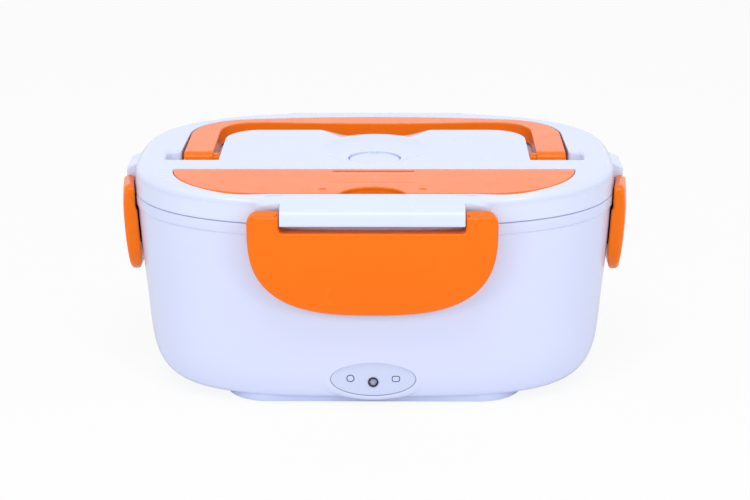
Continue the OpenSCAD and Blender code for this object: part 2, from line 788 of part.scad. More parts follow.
module handle() {
    color(ORANGE) {
        difference() {
            slab(top_z - handle_h, handle_h)
                difference() {
                    handle_outline(0, 0);
                    grip_inside();
                }
            // Underside of the grip is cored between ribs
            for (x = [-44:11:44])
                translate([x - 4.3, handle_reach - 9.8, top_z - handle_h - 1])
                    cube([8.6, 4.6, handle_h - 2]);
        }
        for (x = [-1, 1]) {
            translate([x * (handle_a - arm_w / 2), 0, PIVOT_Z]) rotate([0, 90, 0])
                cylinder(h = arm_w, r = PIVOT_R, center = true);
            translate([x * (ISLAND[0] - 2.6), 0, PIVOT_Z]) rotate([0, 90 * x, 0])
                cylinder(h = 8, r = TRUNNION_R);
            translate([x * (ISLAND[0] + 0.5), 0, PIVOT_Z]) rotate([0, 90 * x, 0])
                cylinder(h = 4, r = TRUNNION_R + 1.2);
        }
    }
}

// Inner edge of the handle, with the grip widened towards the fingers in the middle
module grip_inside() {
    a = handle_a - arm_w;
    back_y = handle_reach - 11.2;
    r = 16;
    difference() {
        union() {
            translate([-a, -20]) square([2 * a, back_y - r + 20]);
            translate([-(a - r), -20]) square([2 * (a - r), back_y + 20]);
            for (x = [-1, 1])
                translate([x * (a - r), back_y - r]) circle(r);
        }
        translate([0, back_y - 2.2 + 560]) circle(560, $fn = 360);
    }
}

module spoon_cover() {
    axis_y = COVER_BACK_Y - COVER_T;
    axis_z = top_z - COVER_T;
    barrel_half = COVER_X + COVER_R - 3.5;
    notch_r = 13.9;
    notch_y = COVER_Y - COVER_R - 3.9;
    color(ORANGE)
    difference() {
        union() {
            slab(axis_z, COVER_T)
                intersection() {
                    cover_outline(0);
                    union() {
                        translate([-barrel_half, -100]) square([2 * barrel_half, 100 + axis_y]);
                        translate([-100, -100]) square([200, 98 + axis_y]);
                    }
                }
            along_x(-barrel_half, 2 * barrel_half)
                translate([axis_y, axis_z]) circle(COVER_T);
            slab(axis_z - COVER_SKIRT, COVER_SKIRT + 0.5)
                intersection() {
                    difference() {
                        cover_outline(-0.4);
                        difference() {
                            cover_outline(-2);
                            translate([0, notch_y]) circle(notch_r + 1.6);
                        }
                    }
                    translate([-100, -100]) square([200, 100 + axis_y - 3]);
                }
            for (x = [-1, 1])
                translate([x * 80, axis_y, axis_z]) rotate([0, 90 * x, 0])
                    cylinder(h = COVER_X + COVER_R + 1.4 - 80, r = 1);
        }
        // Half-moon for the finger at the front, two snap marks and the hinge relief
        translate([0, notch_y, 80]) cylinder(h = 30, r = notch_r);
        for (x = [-22, 22])
            translate([x, -62.5, top_z - 0.3]) cylinder(h = 1, r = 1.6);
        translate([-18.5, COVER_BACK_Y - 5, top_z - 0.6]) cube([37, 1.6, 1]);
    }
}

SPOON_X = 56;

module spoon() {
    bowl_r = 14.6;
    ball = 30;
    floor_gap = POCKET_Z + 0.2;
    color(ORANGE) {
        translate([-SPOON_X, -50.5, 0])
            intersection() {
                difference() {
                    translate([0, 0, floor_gap + ball]) sphere(ball, $fn = 96);
                    translate([0, 0, floor_gap + ball + 1.4]) sphere(ball, $fn = 96);
                }
                translate([0, 0, floor_gap - 1]) cylinder(h = 6.4, r = bowl_r);
            }
        translate([0, -50.5, floor_gap + 3]) linear_extrude(2)
            difference() {
                union() {
                    translate([14 - SPOON_X, -4]) square([90, 8]);
                    translate([104 - SPOON_X, 0]) circle(7);
                    translate([16 - SPOON_X, 0]) circle(6);
                }
                translate([-SPOON_X, 0]) circle(13.6);
                translate([104 - SPOON_X, 0]) circle(2.5);
            }
    }
}

// ---- latches ----------------------------------------------------------------------------------

// Front view of a latch: superellipse below, straight sides and rounded ear corners above
function latch_outline(half, low_z, ear_top_z, inset) = let (
        mid_z = low_z + 0.75 * half,
        r = 5)
    concat(
        [for (i = [0:36]) let (t = 180 + 5 * i)
            [(half - inset) * power(cos(t), 2 / LATCH_N),
                mid_z + (mid_z - low_z - inset) * power(sin(t), 2 / LATCH_N)]],
        [for (t = [0:15:90])
            [half - inset - r + r * cos(t), ear_top_z - inset - r + r * sin(t)]],
        [for (t = [90:15:180])
            [-half + inset + r + r * cos(t), ear_top_z - inset - r + r * sin(t)]]);

// How far the outer face sets back at height z: it bellies in below, and may lean in at the top
function set_back(z, low_z, lean) = BELLY * pow(max(0, (84 - z) / (84 - low_z)), 2.5)
    + lean * pow(max(0, z - 78) / 16, 2);

// Side view of a latch: distance from the box's middle against height, round ears on top
module latch_section(face, low_z, inset, ear, ear_r, lean) {
    ear_face = face - inset - set_back(ear[1], low_z, lean);
    polygon(concat(
        [for (z = [low_z - 3, low_z, low_z + 3, 57, 61, 66, 72, 78, 84, 88])
            [face - inset - set_back(z, low_z, lean), z]],
        [for (t = [0:15:75])
            [ear[0] + (ear_face - ear[0]) * cos(t), ear[1] + (ear_r - inset) * sin(t)]],
        [for (t = [90:15:180])
            [ear[0] + ear_r * cos(t), ear[1] + (ear_r - inset) * sin(t)]],
        [[ear[0] - ear_r, ear[1] - ear_r], [face - 14, ear[1] - ear_r], [face - 14, low_z - 3]]));
}

// Sweeps a latch's side view along its slightly curved plan
module bowed(face, curve_r, half) {
    swing = asin((half + 2) / curve_r);
    translate([face - curve_r, 0, 0]) rotate(-swing)
        rotate_extrude(angle = 2 * swing, $fn = 180)
            translate([curve_r - face, 0]) children();
}

// reach is the back's distance from the box's middle and rim_curve its radius in plan, both just
// outside the rim band, so that the lid can be lifted with its latches down
module latch(face, curve_r, half, ear_in, low_z, slot_z, reach, rim_curve, pivot, ear_r, lean) {
    // The curve has set the ears back to the pivot at their inner ends
    ear = pivot + [curve_r - sqrt(curve_r * curve_r - ear_in * ear_in), 0];
    color(ORANGE)
    difference() {
        union() {
            intersection() {
                bowed(face, curve_r, half) latch_section(face, low_z, 0, ear, ear_r, lean);
                rotate([90, 0, 90]) translate([0, 0, face - 20]) linear_extrude(30)
                    polygon(latch_outline(half, low_z, pivot[1] + ear_r, 0));
            }
            for (y = [-1, 1])
                translate([pivot[0], y * (ear_in + 1), pivot[1]]) rotate([90 * y, 0, 0])
                    cylinder(h = STUB_L, r = STUB_R);
        }
        translate([reach - rim_curve, 0, 0]) cylinder(h = 120, r = rim_curve, $fn = 360);
        // Slot between the ears, for the lid's lug
        translate([face - 20, -ear_in, slot_z]) cube([30, 2 * ear_in, 20]);
        // Cored back, below the hook
        intersection() {
            bowed(face, curve_r, half) latch_section(face, low_z, SKIN, ear, ear_r, lean);
            rotate([90, 0, 90]) translate([0, 0, face - 20]) linear_extrude(30)
                polygon(latch_outline(half, low_z, pivot[1] + ear_r, SKIN));
            translate([face - 20, -half, 0]) cube([30, 2 * half, HOOK_Z]);
        }
    }
}

module long_latch() {
    latch(LONG_FACE, LONG_CURVE_R, long_latch_w, LONG_EAR_IN, long_latch_z, LONG_SLOT_Z,
        rim_b + GAP + 0.15, 500, LONG_PIVOT, LONG_EAR_R, 0);
}

module side_latch() {
    latch(SIDE_FACE, SIDE_CURVE_R, side_latch_w, SIDE_EAR_IN, side_latch_z, SIDE_SLOT_Z,
        rim_a + GAP + 0.25, 150, SIDE_PIVOT, SIDE_EAR_R, SIDE_LEAN);
}

module front_latch() { on_side(-90) long_latch(); }
module back_latch() { on_side(90) long_latch(); }
module left_latch() { on_side(180) side_latch(); }
module right_latch() { on_side(0) side_latch(); }

outer_shell();
inner_liner();
bottom_cover();
bottom_screws();
heating_plate();
plate_seal();
ptc_heaters();
heater_clamp();
clamp_screws();
thermostat();
thermal_fuse();
heater_leads();
lamp_leads();
lamp_panel();
lamp_bezel();
lamp_lens();
lamp_led();
lamp_board();
inlet_socket();
inlet_pins();
inlet_flap();
food_tray();
side_cup();
lid_shell();
lid_liner();
lid_seal();
vent_plug();
handle();
spoon_cover();
spoon();
front_latch();
back_latch();
left_latch();
right_latch();
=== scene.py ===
# %% [markdown]
# # A heated lunch box, piece by piece
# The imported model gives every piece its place. This lesson dresses the pieces that show: a glossy
# polypropylene base and lid, and orange ABS latches, handle and spoon cover.
# Everything is worked out in millimetres and turned to metres only when a mesh is made.

# %% Load the frame
import bpy, bmesh, math
import numpy as np
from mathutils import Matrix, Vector
from mathutils.geometry import delaunay_2d_cdt


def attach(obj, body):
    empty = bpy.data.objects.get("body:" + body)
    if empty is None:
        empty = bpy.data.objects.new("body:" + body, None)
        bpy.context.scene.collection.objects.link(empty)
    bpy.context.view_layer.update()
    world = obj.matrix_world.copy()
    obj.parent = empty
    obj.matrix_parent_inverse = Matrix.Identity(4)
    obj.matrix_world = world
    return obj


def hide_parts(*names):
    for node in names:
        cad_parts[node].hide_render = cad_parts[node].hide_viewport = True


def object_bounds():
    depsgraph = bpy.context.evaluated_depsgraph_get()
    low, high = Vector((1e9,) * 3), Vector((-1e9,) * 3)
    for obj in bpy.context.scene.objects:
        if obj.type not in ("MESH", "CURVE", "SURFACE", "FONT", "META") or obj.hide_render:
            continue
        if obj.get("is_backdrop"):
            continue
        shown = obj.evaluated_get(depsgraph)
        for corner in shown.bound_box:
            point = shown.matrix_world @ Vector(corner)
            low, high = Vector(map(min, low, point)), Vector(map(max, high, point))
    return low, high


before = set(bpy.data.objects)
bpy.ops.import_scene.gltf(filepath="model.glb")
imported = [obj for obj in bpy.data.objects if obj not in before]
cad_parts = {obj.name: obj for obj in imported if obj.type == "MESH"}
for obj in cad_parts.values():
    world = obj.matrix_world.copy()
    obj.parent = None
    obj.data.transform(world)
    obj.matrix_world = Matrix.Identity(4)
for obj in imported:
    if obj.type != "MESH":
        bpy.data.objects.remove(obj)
cad_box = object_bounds()
print("nodes:", len(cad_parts))

# %% [markdown]
# ## Camera
# A long lens from a little above, as for a catalogue picture. The camera stands 0.9 m from a point at
# half the height of the box, 18.6 degrees above the table and a touch to the right. It could be aimed with
# a constraint, but a place worked out from two angles is easier to read and to change.

# %% Camera
def look_from(distance, azimuth, elevation, target, roll):
    """A camera at a distance from a target, by two angles in degrees."""
    e, a = math.radians(elevation), math.radians(azimuth)
    away = Vector((math.sin(a) * math.cos(e), -math.cos(a) * math.cos(e), math.sin(e)))
    camera = bpy.data.objects.new("camera", bpy.data.cameras.new("camera"))
    camera.location = Vector(target) + away * distance
    camera.rotation_euler = away.to_track_quat("Z", "Y").to_euler()
    camera.rotation_euler.rotate_axis("Z", math.radians(roll))
    bpy.context.scene.collection.objects.link(camera)
    return camera

camera = look_from(0.9, 0.8, 18.58, (0, 0, 0.05083), -0.2)
SENSOR_MM, FOCAL_PX, PICTURE_PX = 36, 1878.3, 750
camera.data.sensor_width = SENSOR_MM
camera.data.lens = FOCAL_PX / PICTURE_PX * SENSOR_MM
camera.data.clip_end = 20
bpy.context.scene.camera = camera
print("lens", round(camera.data.lens, 1), "mm")

# %% [markdown]
# ## Outlines
# The box in plan is a superellipse: between an ellipse and a rectangle. It could be drawn as a Bezier
# curve, but a formula gives the same kind of outline at every height. Points are spread evenly along it,
# because a moulded surface shades smoothly only where its mesh is even. All loops run anticlockwise.

# %% Even points, superellipses and arcs
RIM_A, RIM_B, RIM_N = 112, 77, 2.67

def evenly(loop, count):
    loop = np.asarray(loop, float)
    closed = np.vstack([loop, loop[:1]])
    step = np.hypot(*np.diff(closed, axis=0).T)
    along = np.concatenate([[0], np.cumsum(step)])
    at = np.linspace(0, along[-1], count, endpoint=False)
    return np.column_stack([np.interp(at, along, closed[:, k]) for k in (0, 1)])

def superellipse(a, b, n, count=288):
    t = np.linspace(0, 2 * np.pi, 2401)[:-1]
    c, s = np.cos(t), np.sin(t)
    x = a * np.sign(c) * np.abs(c) ** (2 / n)
    y = b * np.sign(s) * np.abs(s) ** (2 / n)
    return evenly(np.column_stack([x, y]), count)

def arc(centre, radius, start, end, step=3):
    count = max(2, int(abs(end - start) / step) + 1)
    t = np.radians(np.linspace(start, end, count))
    return [(centre[0] + radius * math.cos(v), centre[1] + radius * math.sin(v)) for v in t]

print("arc of 90 degrees:", len(arc((0, 0), 1, 0, 90)), "points")

# %% Soft corners, offsets and tests on loops
def soften(loop, spacing=0.6, width=0.9):
    """Rounds a loop's corners by averaging its points with their neighbours."""
    length = np.hypot(*np.diff(np.vstack([loop, loop[:1]]), axis=0).T).sum()
    points = evenly(loop, int(length / spacing))
    reach = int(4 * width / spacing) + 1
    steps = np.arange(-reach, reach + 1)
    weight = np.exp(-0.5 * (steps * spacing / width) ** 2)
    weight /= weight.sum()
    return sum(w * np.roll(points, k, axis=0) for k, w in zip(steps, weight))

def grow(loop, distance):
    """Moves a loop outwards, by one distance or by one for each point."""
    along = np.roll(loop, -1, axis=0) - np.roll(loop, 1, axis=0)
    along /= np.maximum(np.hypot(*along.T), 1e-9)[:, None]
    return loop + np.reshape(distance, (-1, 1)) * np.column_stack([along[:, 1], -along[:, 0]])

def inside(points, loop):
    x, y = points[:, 0:1], points[:, 1:2]
    x0, y0 = loop[:, 0], loop[:, 1]
    x1, y1 = np.roll(x0, -1), np.roll(y0, -1)
    crosses = (y0 > y) != (y1 > y)
    at = x0 + (y - y0) / np.where(y1 == y0, 1e-9, y1 - y0) * (x1 - x0)
    return (crosses & (x < at)).sum(axis=1) % 2 == 1

def triangle_area(a, b, c):
    return abs((b[0] - a[0]) * (c[1] - a[1]) - (c[0] - a[0]) * (b[1] - a[1])) / 2

rim_steps = np.diff(superellipse(RIM_A, RIM_B, RIM_N), axis=0)
print("rim length:", round(float(np.hypot(*rim_steps.T).sum())), "mm")

# %% [markdown]
# ## Skins
# Moulded parts are made here as closed skins. A ring is a loop of points in a plane with a height,
# a band joins two rings, and a fill closes a ring, leaving its holes open. A place function then
# turns the plane to where the piece sits, so one way of working makes lids, latches and handles.
# Subdivision would need fewer points, but it can't hold a sunk pocket's edge at a size in millimetres.

# %% Ways to place a skin
def upright(u, v, w):
    return (u, v, w)

def front(u, v, w):
    return (u, -w, v)

def back(u, v, w):
    return (-u, w, v)

def right(u, v, w):
    return (w, u, v)

def left(u, v, w):
    return (-w, -u, v)

def right_in_a_mirror(u, v, w):
    return (-w, u, v)

print("a point 1 mm out of the front stands at", front(0, 0, 1))

# %% The skin
SLIVER = 1e-4

class Skin:
    def __init__(self, place=upright):
        self.place, self.points, self.faces = place, [], []

    def ring(self, loop, w):
        start = len(self.points)
        height = w(loop[:, 0], loop[:, 1]) if callable(w) else np.full(len(loop), w)
        self.points += [(u, v, h) for (u, v), h in zip(loop, height)]
        return np.arange(start, len(self.points))

    def band(self, low, high):
        n = len(low)
        self.faces += [(low[i], low[(i + 1) % n], high[(i + 1) % n], high[i]) for i in range(n)]

    def fill(self, outer, holes=(), w=0.0, spots=None, margin=0.45):
        """Closes a ring, with loose points in the surface kept a margin away from its edges."""
        loops = [outer] + list(holes)
        flat = np.array(self.points)[:, :2]
        index = list(np.concatenate(loops))
        if spots is not None:
            keep = inside(spots, grow(flat[outer], -margin))
            for hole in holes:
                keep &= ~inside(spots, grow(flat[hole], margin))
            index += list(self.ring(spots[keep], w))
        flat = np.array(self.points)[:, :2]
        edges, at = [], 0
        for n in map(len, loops):
            edges += [(at + i, at + (i + 1) % n) for i in range(n)]
            at += n
        corners = [Vector(flat[i]) for i in index]
        verts, _, faces, origin, _, _ = delaunay_2d_cdt(corners, edges, [], 0, 1e-7)
        faces = [f for f in faces if triangle_area(*(verts[i] for i in f[:3])) > SLIVER]
        middles = np.array([np.mean([verts[i][:] for i in f], axis=0) for f in faces])
        keep = inside(middles, flat[outer])
        for hole in holes:
            keep &= ~inside(middles, flat[hole])
        name = [index[o[0]] if o else int(self.ring(np.array([v[:]]), w)[0])
                for o, v in zip(origin, verts)]
        self.faces += [tuple(name[i] for i in f) for f, k in zip(faces, keep) if k]

    def add(self, other):
        start = len(self.points)
        self.points += [other.place(*p) for p in other.points]
        self.faces += [tuple(i + start for i in f) for f in other.faces]

# %% Roundings, bands, loose points and turned pieces
def rounded(radius, steps=6):
    """Steps round a quarter circle, from a wall (0, radius) to a face (radius, 0)."""
    t = np.radians(np.linspace(0, 90, steps + 1))
    return [(radius * (1 - math.cos(v)), radius * (1 - math.sin(v))) for v in t]

def bands(skin, rings):
    for low, high in zip(rings[:-1], rings[1:]):
        skin.band(low, high)

def spots_in(low, high, step):
    u, v = np.meshgrid(np.arange(low[0], high[0], step[0]), np.arange(low[1], high[1], step[1]))
    return np.column_stack([u.ravel(), v.ravel()])

def turned(profile, place, centre, count=64):
    """A turned piece: circles of a radius at each place along its axis."""
    skin = Skin(place)
    rings = [skin.ring(superellipse(r, r, 2, count) + np.array(centre), w) for r, w in profile]
    bands(skin, rings)
    skin.fill(rings[0])
    skin.fill(rings[-1])
    return skin

print("a rounded edge has", len(rounded(1.0)), "rings")

# %% [markdown]
# A skin becomes a mesh in metres, with its faces turned outwards. The weighted-normal modifier keeps
# the large flat faces flat in the shading and lets only the narrow rounded edges bend the light.

# %% From skin to mesh
WELD = 1e-5

def solid(name, skin):
    spots = [tuple(0.001 * c for c in skin.place(*p)) for p in skin.points]
    mesh = bpy.data.meshes.new(name)
    mesh.from_pydata(spots, [], [f for f in skin.faces if len(set(f)) == len(f)])
    bm = bmesh.new()
    bm.from_mesh(mesh)
    bmesh.ops.remove_doubles(bm, verts=bm.verts, dist=WELD)
    bmesh.ops.dissolve_degenerate(bm, edges=bm.edges, dist=WELD)
    bmesh.ops.recalc_face_normals(bm, faces=bm.faces)
    bm.to_mesh(mesh)
    bm.free()
    mesh.shade_smooth()
    piece = bpy.data.objects.new(name, mesh)
    bpy.context.scene.collection.objects.link(piece)
    return piece

def make(name, skin, body, replaces=(), material=None):
    """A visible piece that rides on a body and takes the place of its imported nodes."""
    piece = solid(name, skin)
    mesh = piece.data
    weigh = piece.modifiers.new("flat_faces_stay_flat", "WEIGHTED_NORMAL")
    weigh.weight = 60
    weigh.keep_sharp = True
    if material:
        mesh.materials.append(material)
    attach(piece, body)
    if replaces:
        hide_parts(*replaces)
    print(f"{name}: {len(mesh.vertices)} points, {len(mesh.polygons)} faces")
    return piece

# %% [markdown]
# ## Materials
# Moulded plastics get their look from three things: a colour that hardly varies, a reflection that is
# a little sharper or softer from place to place, and the faint waviness of the mould's polish.
# Metals, ceramic and rubber differ in their numbers, not in that recipe, so one function makes them all.
# Colours are written as sRGB hex values and turned to linear once, and patterns have sizes in millimetres.

# %% Colour and node helpers
def colour(code):
    parts = [int(code[i:i + 2], 16) / 255 for i in (1, 3, 5)]
    return tuple(c / 12.92 if c <= 0.04045 else ((c + 0.055) / 1.055) ** 2.4 for c in parts) + (1.0,)

def add_node(tree, kind, inputs=None, **settings):
    new = tree.nodes.new(kind)
    for key, value in settings.items():
        setattr(new, key, value)
    for key, value in (inputs or {}).items():
        if isinstance(value, bpy.types.NodeSocket):
            tree.links.new(value, new.inputs[key])
        else:
            new.inputs[key].default_value = value
    return new

print("a middle grey of #808080 is", round(colour("#808080")[0], 3), "in linear light")

# %% One recipe for every finish
TINT_MM = 40

def finish(name, light, dark, roughness, spread, wave_mm, wave_height_mm, ior, **constants):
    """Two close colours, uneven gloss and a slow wave in the polish."""
    material = bpy.data.materials.new(name)
    material.use_nodes = True
    tree = material.node_tree
    shader = tree.nodes["Principled BSDF"]
    where = add_node(tree, "ShaderNodeTexCoord").outputs["Object"]
    slow = add_node(tree, "ShaderNodeTexNoise", {"Vector": where, "Scale": 1000 / TINT_MM, "Detail": 2.0})
    fine = add_node(tree, "ShaderNodeTexNoise", {"Vector": where, "Scale": 1000 / wave_mm, "Detail": 3.0})
    tint = add_node(tree, "ShaderNodeMix", {"Factor": slow.outputs["Fac"]}, data_type="RGBA")
    tint.inputs[6].default_value, tint.inputs[7].default_value = colour(light), colour(dark)
    gloss = add_node(tree, "ShaderNodeMapRange", {"Value": fine.outputs["Fac"], "From Min": 0.3,
        "From Max": 0.7, "To Min": roughness - spread, "To Max": roughness + spread})
    bump = add_node(tree, "ShaderNodeBump", {"Height": fine.outputs["Fac"], "Strength": 0.35,
        "Distance": wave_height_mm / 1000})
    tree.links.new(tint.outputs[2], shader.inputs["Base Color"])
    tree.links.new(gloss.outputs["Result"], shader.inputs["Roughness"])
    tree.links.new(bump.outputs["Normal"], shader.inputs["Normal"])
    shader.inputs["IOR"].default_value = ior
    for key, value in constants.items():
        shader.inputs[key.replace("_", " ")].default_value = value
    return material

# %% The materials that show
# Glossy polypropylene, moulded in a polished tool: a bluish white.
white_pp = finish("white_polypropylene", "#DAE2FF", "#D8E0FF", 0.22, 0.04, 9.0, 0.006, 1.49)
# Painted light: the lid's plastic is a lighter copy of the base's, standing in for the brighter light that
# falls on the lid. The vent plug and the lid liner take the same copy.
lid_pp_painted_lighter = finish("lid_polypropylene_painted_lighter", "#DDE6FF", "#DAE4FF", 0.24, 0.04, 9.0, 0.006, 1.49)
# Glossy ABS, moulded: a deep orange. Its face-on reflection is tinted so that it doesn't pale the
# orange, and at a grazing angle it stays white, which gives the wet-looking edge.
orange_abs = finish("orange_abs", "#FC750C", "#FA720A", 0.24, 0.04, 8.0, 0.006, 1.53,
                    Specular_Tint=(1.0, 0.6, 0.3, 1.0))
# Food-grade polypropylene left natural: a little milky and satin.
natural_pp = finish("natural_polypropylene", "#E9EEF8", "#E4EAF6", 0.38, 0.06, 5.0, 0.02, 1.49)
# Silicone rubber: satin, slightly grey.
silicone = finish("silicone_rubber", "#E3E6EC", "#DEE1E8", 0.5, 0.05, 1.5, 0.02, 1.41)
print("materials:", [m.name for m in (white_pp, lid_pp_painted_lighter, orange_abs, natural_pp, silicone)])

# %% [markdown]
# ## The base
# The real base is one deep moulding. Its walls lean in towards the foot, grow squarer as they go down
# and roll under in a soft edge. A scaled and bevelled box can't follow that, so the base is lofted from
# many superellipses, outside and inside in one skin.

# %% Base outline
RIM_Z, BASE_Z, FLOOR_Z = 87.2, 3.9, 6.1
WALL_H, ROLL_H, WALL_T = 83.3, 19, 2.7

def base_size(z, inset=0.0):
    """Half length, half depth and squareness of the leaning wall at a height."""
    u = (RIM_Z - z) / WALL_H
    return (RIM_A - 6 * u - 3.1 * u * u - inset, RIM_B - 2.5 * u - 1.9 * u * u - inset,
            RIM_N + 0.83 * np.maximum(0.0, u))

def rolled_size(z, inset=0.0, start=BASE_Z):
    """The same, where the wall rolls under above its lower edge."""
    k = min(1.0, max(0.0, 1 - (z - start) / ROLL_H))
    turn = 1 - (1 - k ** 2.6) ** (1 / 2.6)
    a, b, n = base_size(z, inset)
    return a - 12.5 * turn, b - 5.4 * turn, n

def soft_step(x, low, high):
    s = np.clip((x - low) / (high - low), 0, 1)
    return s * s * (3 - 2 * s)

def rounded_plate(a, b, r, x=0.0, y=0.0, spacing=0.8):
    corners = [((a - r, b - r), 0), ((r - a, b - r), 90), ((r - a, r - b), 180), ((a - r, r - b), 270)]
    loop = [p for (centre, start) in corners for p in arc(centre, r, start, start + 90, 5)]
    length = 4 * (a + b)
    return evenly(loop, int(length / spacing)) + np.array([x, y])

print("half length at the foot:", round(float(base_size(BASE_Z)[0]), 1), "mm")

# %% Base skin
base = Skin()
walls = []
for s in np.linspace(0, 1, 16) ** 1.8:
    z = BASE_Z + ROLL_H * s
    walls.append(base.ring(superellipse(*rolled_size(z)), z))
for z in (26, 31, 37, 44, 52, 60, 68, 75, 80, 81.6):
    walls.append(base.ring(superellipse(*base_size(z, 0.5 * soft_step(z, BASE_Z + ROLL_H, 44))), z))
# The rim band stands a little proud of the wall.
for z, out in ((82.0, -0.3), (82.25, 0.1), (82.6, 0.25), (84.5, 0.3), (86.6, 0.3), (87.0, 0.15),
               (RIM_Z, -0.3)):
    walls.append(base.ring(superellipse(RIM_A + out - 0.3, RIM_B + out - 0.3, RIM_N), z))
# Inside come the lip, the ledge that carries the liner, and the inner wall.
for z, inset in ((RIM_Z, 1.4), (86.9, 1.8), (84.2, 1.8), (84.0, 2.0), (84.0, 3.7), (83.8, 3.9), (80.0, 3.9),
                 (77.0, WALL_T), (60.0, WALL_T), (40.0, WALL_T)):
    walls.append(base.ring(superellipse(*base_size(z, inset)), z))
for s in np.linspace(1, 0, 9) ** 1.8:
    z = FLOOR_Z + ROLL_H * s
    walls.append(base.ring(superellipse(*rolled_size(z, WALL_T, FLOOR_Z)), z))
bands(base, walls)

opening = rounded_plate(61, 58, 16)
under, over = base.ring(opening, BASE_Z), base.ring(opening, FLOOR_Z)
base.fill(walls[0], [under])
base.fill(walls[-1], [over])
base.band(under, over)
print("base skin:", len(walls), "rings of", len(walls[0]), "points")

# %% [markdown]
# The lamp sits in a swelling low on the front. Its face stands upright while the wall behind it rolls
# under, so it comes out of the wall at the bottom and sinks into it at the top. Pulling the wall's own
# points outwards would stretch its mesh, so the swelling is a skin of its own, joined on afterwards.

# %% Swelling round the lamp
LAMP = np.array([0, 14.3])

def ellipse(a, b, count=120):
    return superellipse(a, b, 2.0, count)

swelling = Skin(front)
rings = [(65.7, 27.8, 11.5), (68.6, 27.6, 11.4), (70.2, 27.0, 11.25), (71.4, 25.6, 10.8), (72.2, 23.8, 10.3),
         (72.8, 22.0, 9.7), (73.1, 20.9, 9.2), (73.2, 20.2, 8.8), (73.2, 19.6, 8.4), (73.1, 19.4, 8.2),
         (72.9, 19.35, 8.15), (72.3, 19.35, 8.15)]
loops = [swelling.ring(ellipse(a, b) + LAMP, w) for w, a, b in rings]
bands(swelling, loops)
swelling.fill(loops[0])
swelling.fill(loops[-1])
shell = make("base_shell", base, "base", ["outer_shell"], white_pp)

# %% [markdown]
# The swelling is joined to the wall, and an ellipse is cut straight in for the lamp's panel. Both are
# boolean operations, applied at once, with sharp edges kept only where the surfaces really turn.

# %% Join the swelling and cut the recess
SHARP = math.radians(35)

def combine(piece, other_skin, operation):
    other = solid("tool", other_skin)
    modifier = piece.modifiers.new("combine", "BOOLEAN")
    modifier.object, modifier.operation, modifier.solver = other, operation, "EXACT"
    with bpy.context.temp_override(object=piece):
        bpy.ops.object.modifier_move_to_index(modifier="combine", index=0)
        bpy.ops.object.modifier_apply(modifier="combine")
    bpy.data.objects.remove(other)

recess = Skin(front)
prism = [recess.ring(ellipse(19.3, 8.1) + LAMP, w) for w in (72.3, 73.6, 76.5)]
bands(recess, prism)
recess.fill(prism[0])
recess.fill(prism[-1])
combine(shell, swelling, "UNION")
combine(shell, recess, "DIFFERENCE")
shell.data.set_sharp_from_angle(angle=SHARP)
print("base after joining:", len(shell.data.polygons), "faces")

# %% [markdown]
# ## The lid
# The lid's side leans in a little and rounds over into a flat top. The long channel for the handle and
# the room for the spoon are sunk into it, so the top is one filled sheet with the pockets' rims as holes.

# %% Lid heights
LID_EDGE, LID_ARC, LID_TOP, ROUND = 87.5, 95.2, 100.0, 4.8
SHEET_TURN, LID_LEAN = 60, 0.09
# The rounding is followed to just short of where it would stand upright.
ROUND_END = 4.7

def lid_size(z):
    """Half length, half depth and squareness of the lid's side at a height."""
    up = max(0.0, z - LID_ARC) / ROUND
    inward = ROUND * (1 - math.sqrt(max(0.0, 1 - up * up))) + LID_LEAN * (min(z, LID_ARC) - LID_EDGE)
    squarer = 0.17 * min(1.0, up / math.sin(math.radians(SHEET_TURN)))
    return RIM_A - inward, RIM_B - inward, RIM_N + squarer

FLAT_A, FLAT_B, FLAT_N = lid_size(LID_TOP)
print("flat top:", round(2 * FLAT_A, 1), "by", round(2 * FLAT_B, 1), "mm")

# %% Height of the lid's top at any point
def beyond_flat(u, v):
    """How far outside the flat top each point lies, by Newton's method."""
    i = np.zeros(len(u))
    for _ in range(12):
        a, b = FLAT_A + i, FLAT_B + i
        p, q = (np.abs(u) / a) ** FLAT_N, (np.abs(v) / b) ** FLAT_N
        i = np.clip(i - (p + q - 1) / np.minimum(-FLAT_N * (p / a + q / b), -1e-3), -30, ROUND_END)
    return i

def scoop(u, v):
    """Room for the fingers before the handle's grip, deepest in the middle and at the grip."""
    deep = 3.7 * soft_step(32 - np.abs(u), 0, 20) - (41 - v) * 0.185
    deep = np.where((v < 42) & (deep > 0), deep, 0)
    return np.sqrt(deep ** 2 + 0.09) - 0.3

def lid_top(u, v):
    out = np.clip(beyond_flat(u, v), 0, ROUND_END)
    return LID_TOP - (ROUND - np.sqrt(ROUND ** 2 - out ** 2)) - scoop(u, v)

middle_of_scoop = lid_top(np.array([0.0]), np.array([39.0]))[0]
print("the scoop is", round(float(LID_TOP - middle_of_scoop), 1), "mm deep at the channel")

# %% [markdown]
# The channel's outline follows the handle outside and the raised island inside. Both ends open into
# small wells that give the handle's arms room to spring outwards when it is pressed in.
# Corners are drawn sharp or as arcs and softened afterwards, which is easier to change than a curve
# with handles. The spoon room is the cover's own outline, grown by its gap.

# %% Channel and spoon-room outlines
GRIP_BACK = arc((0, -381), 445.6, 81.2, 98.8, 0.4)
channel = soften([(97.3, -15), (97.3, -3.5)] + arc((93.8, -3.5), 3.5, 0, 90, 10) + [(91.1, 0), (90.3, 31.5)]
    + arc((61.7, 31.5), 28.6, 0, 77) + GRIP_BACK + arc((-61.7, 31.5), 28.6, 103, 180)
    + [(-90.3, 31.5), (-91.1, 0)] + arc((-93.8, -3.5), 3.5, 90, 180, 10) + [(-97.3, -15), (-72.3, -15)]
    + arc((-55.8, 22.5), 16.5, 180, 90) + arc((55.8, 22.5), 16.5, 90, 0) + [(72.3, -15)], 0.6, 0.5)

def mirrored(path):
    return [(-u, v) for u, v in reversed(path)]

# The half-moon at the cover's front is an arc about a point before it.
NOTCH_Y = -74.9

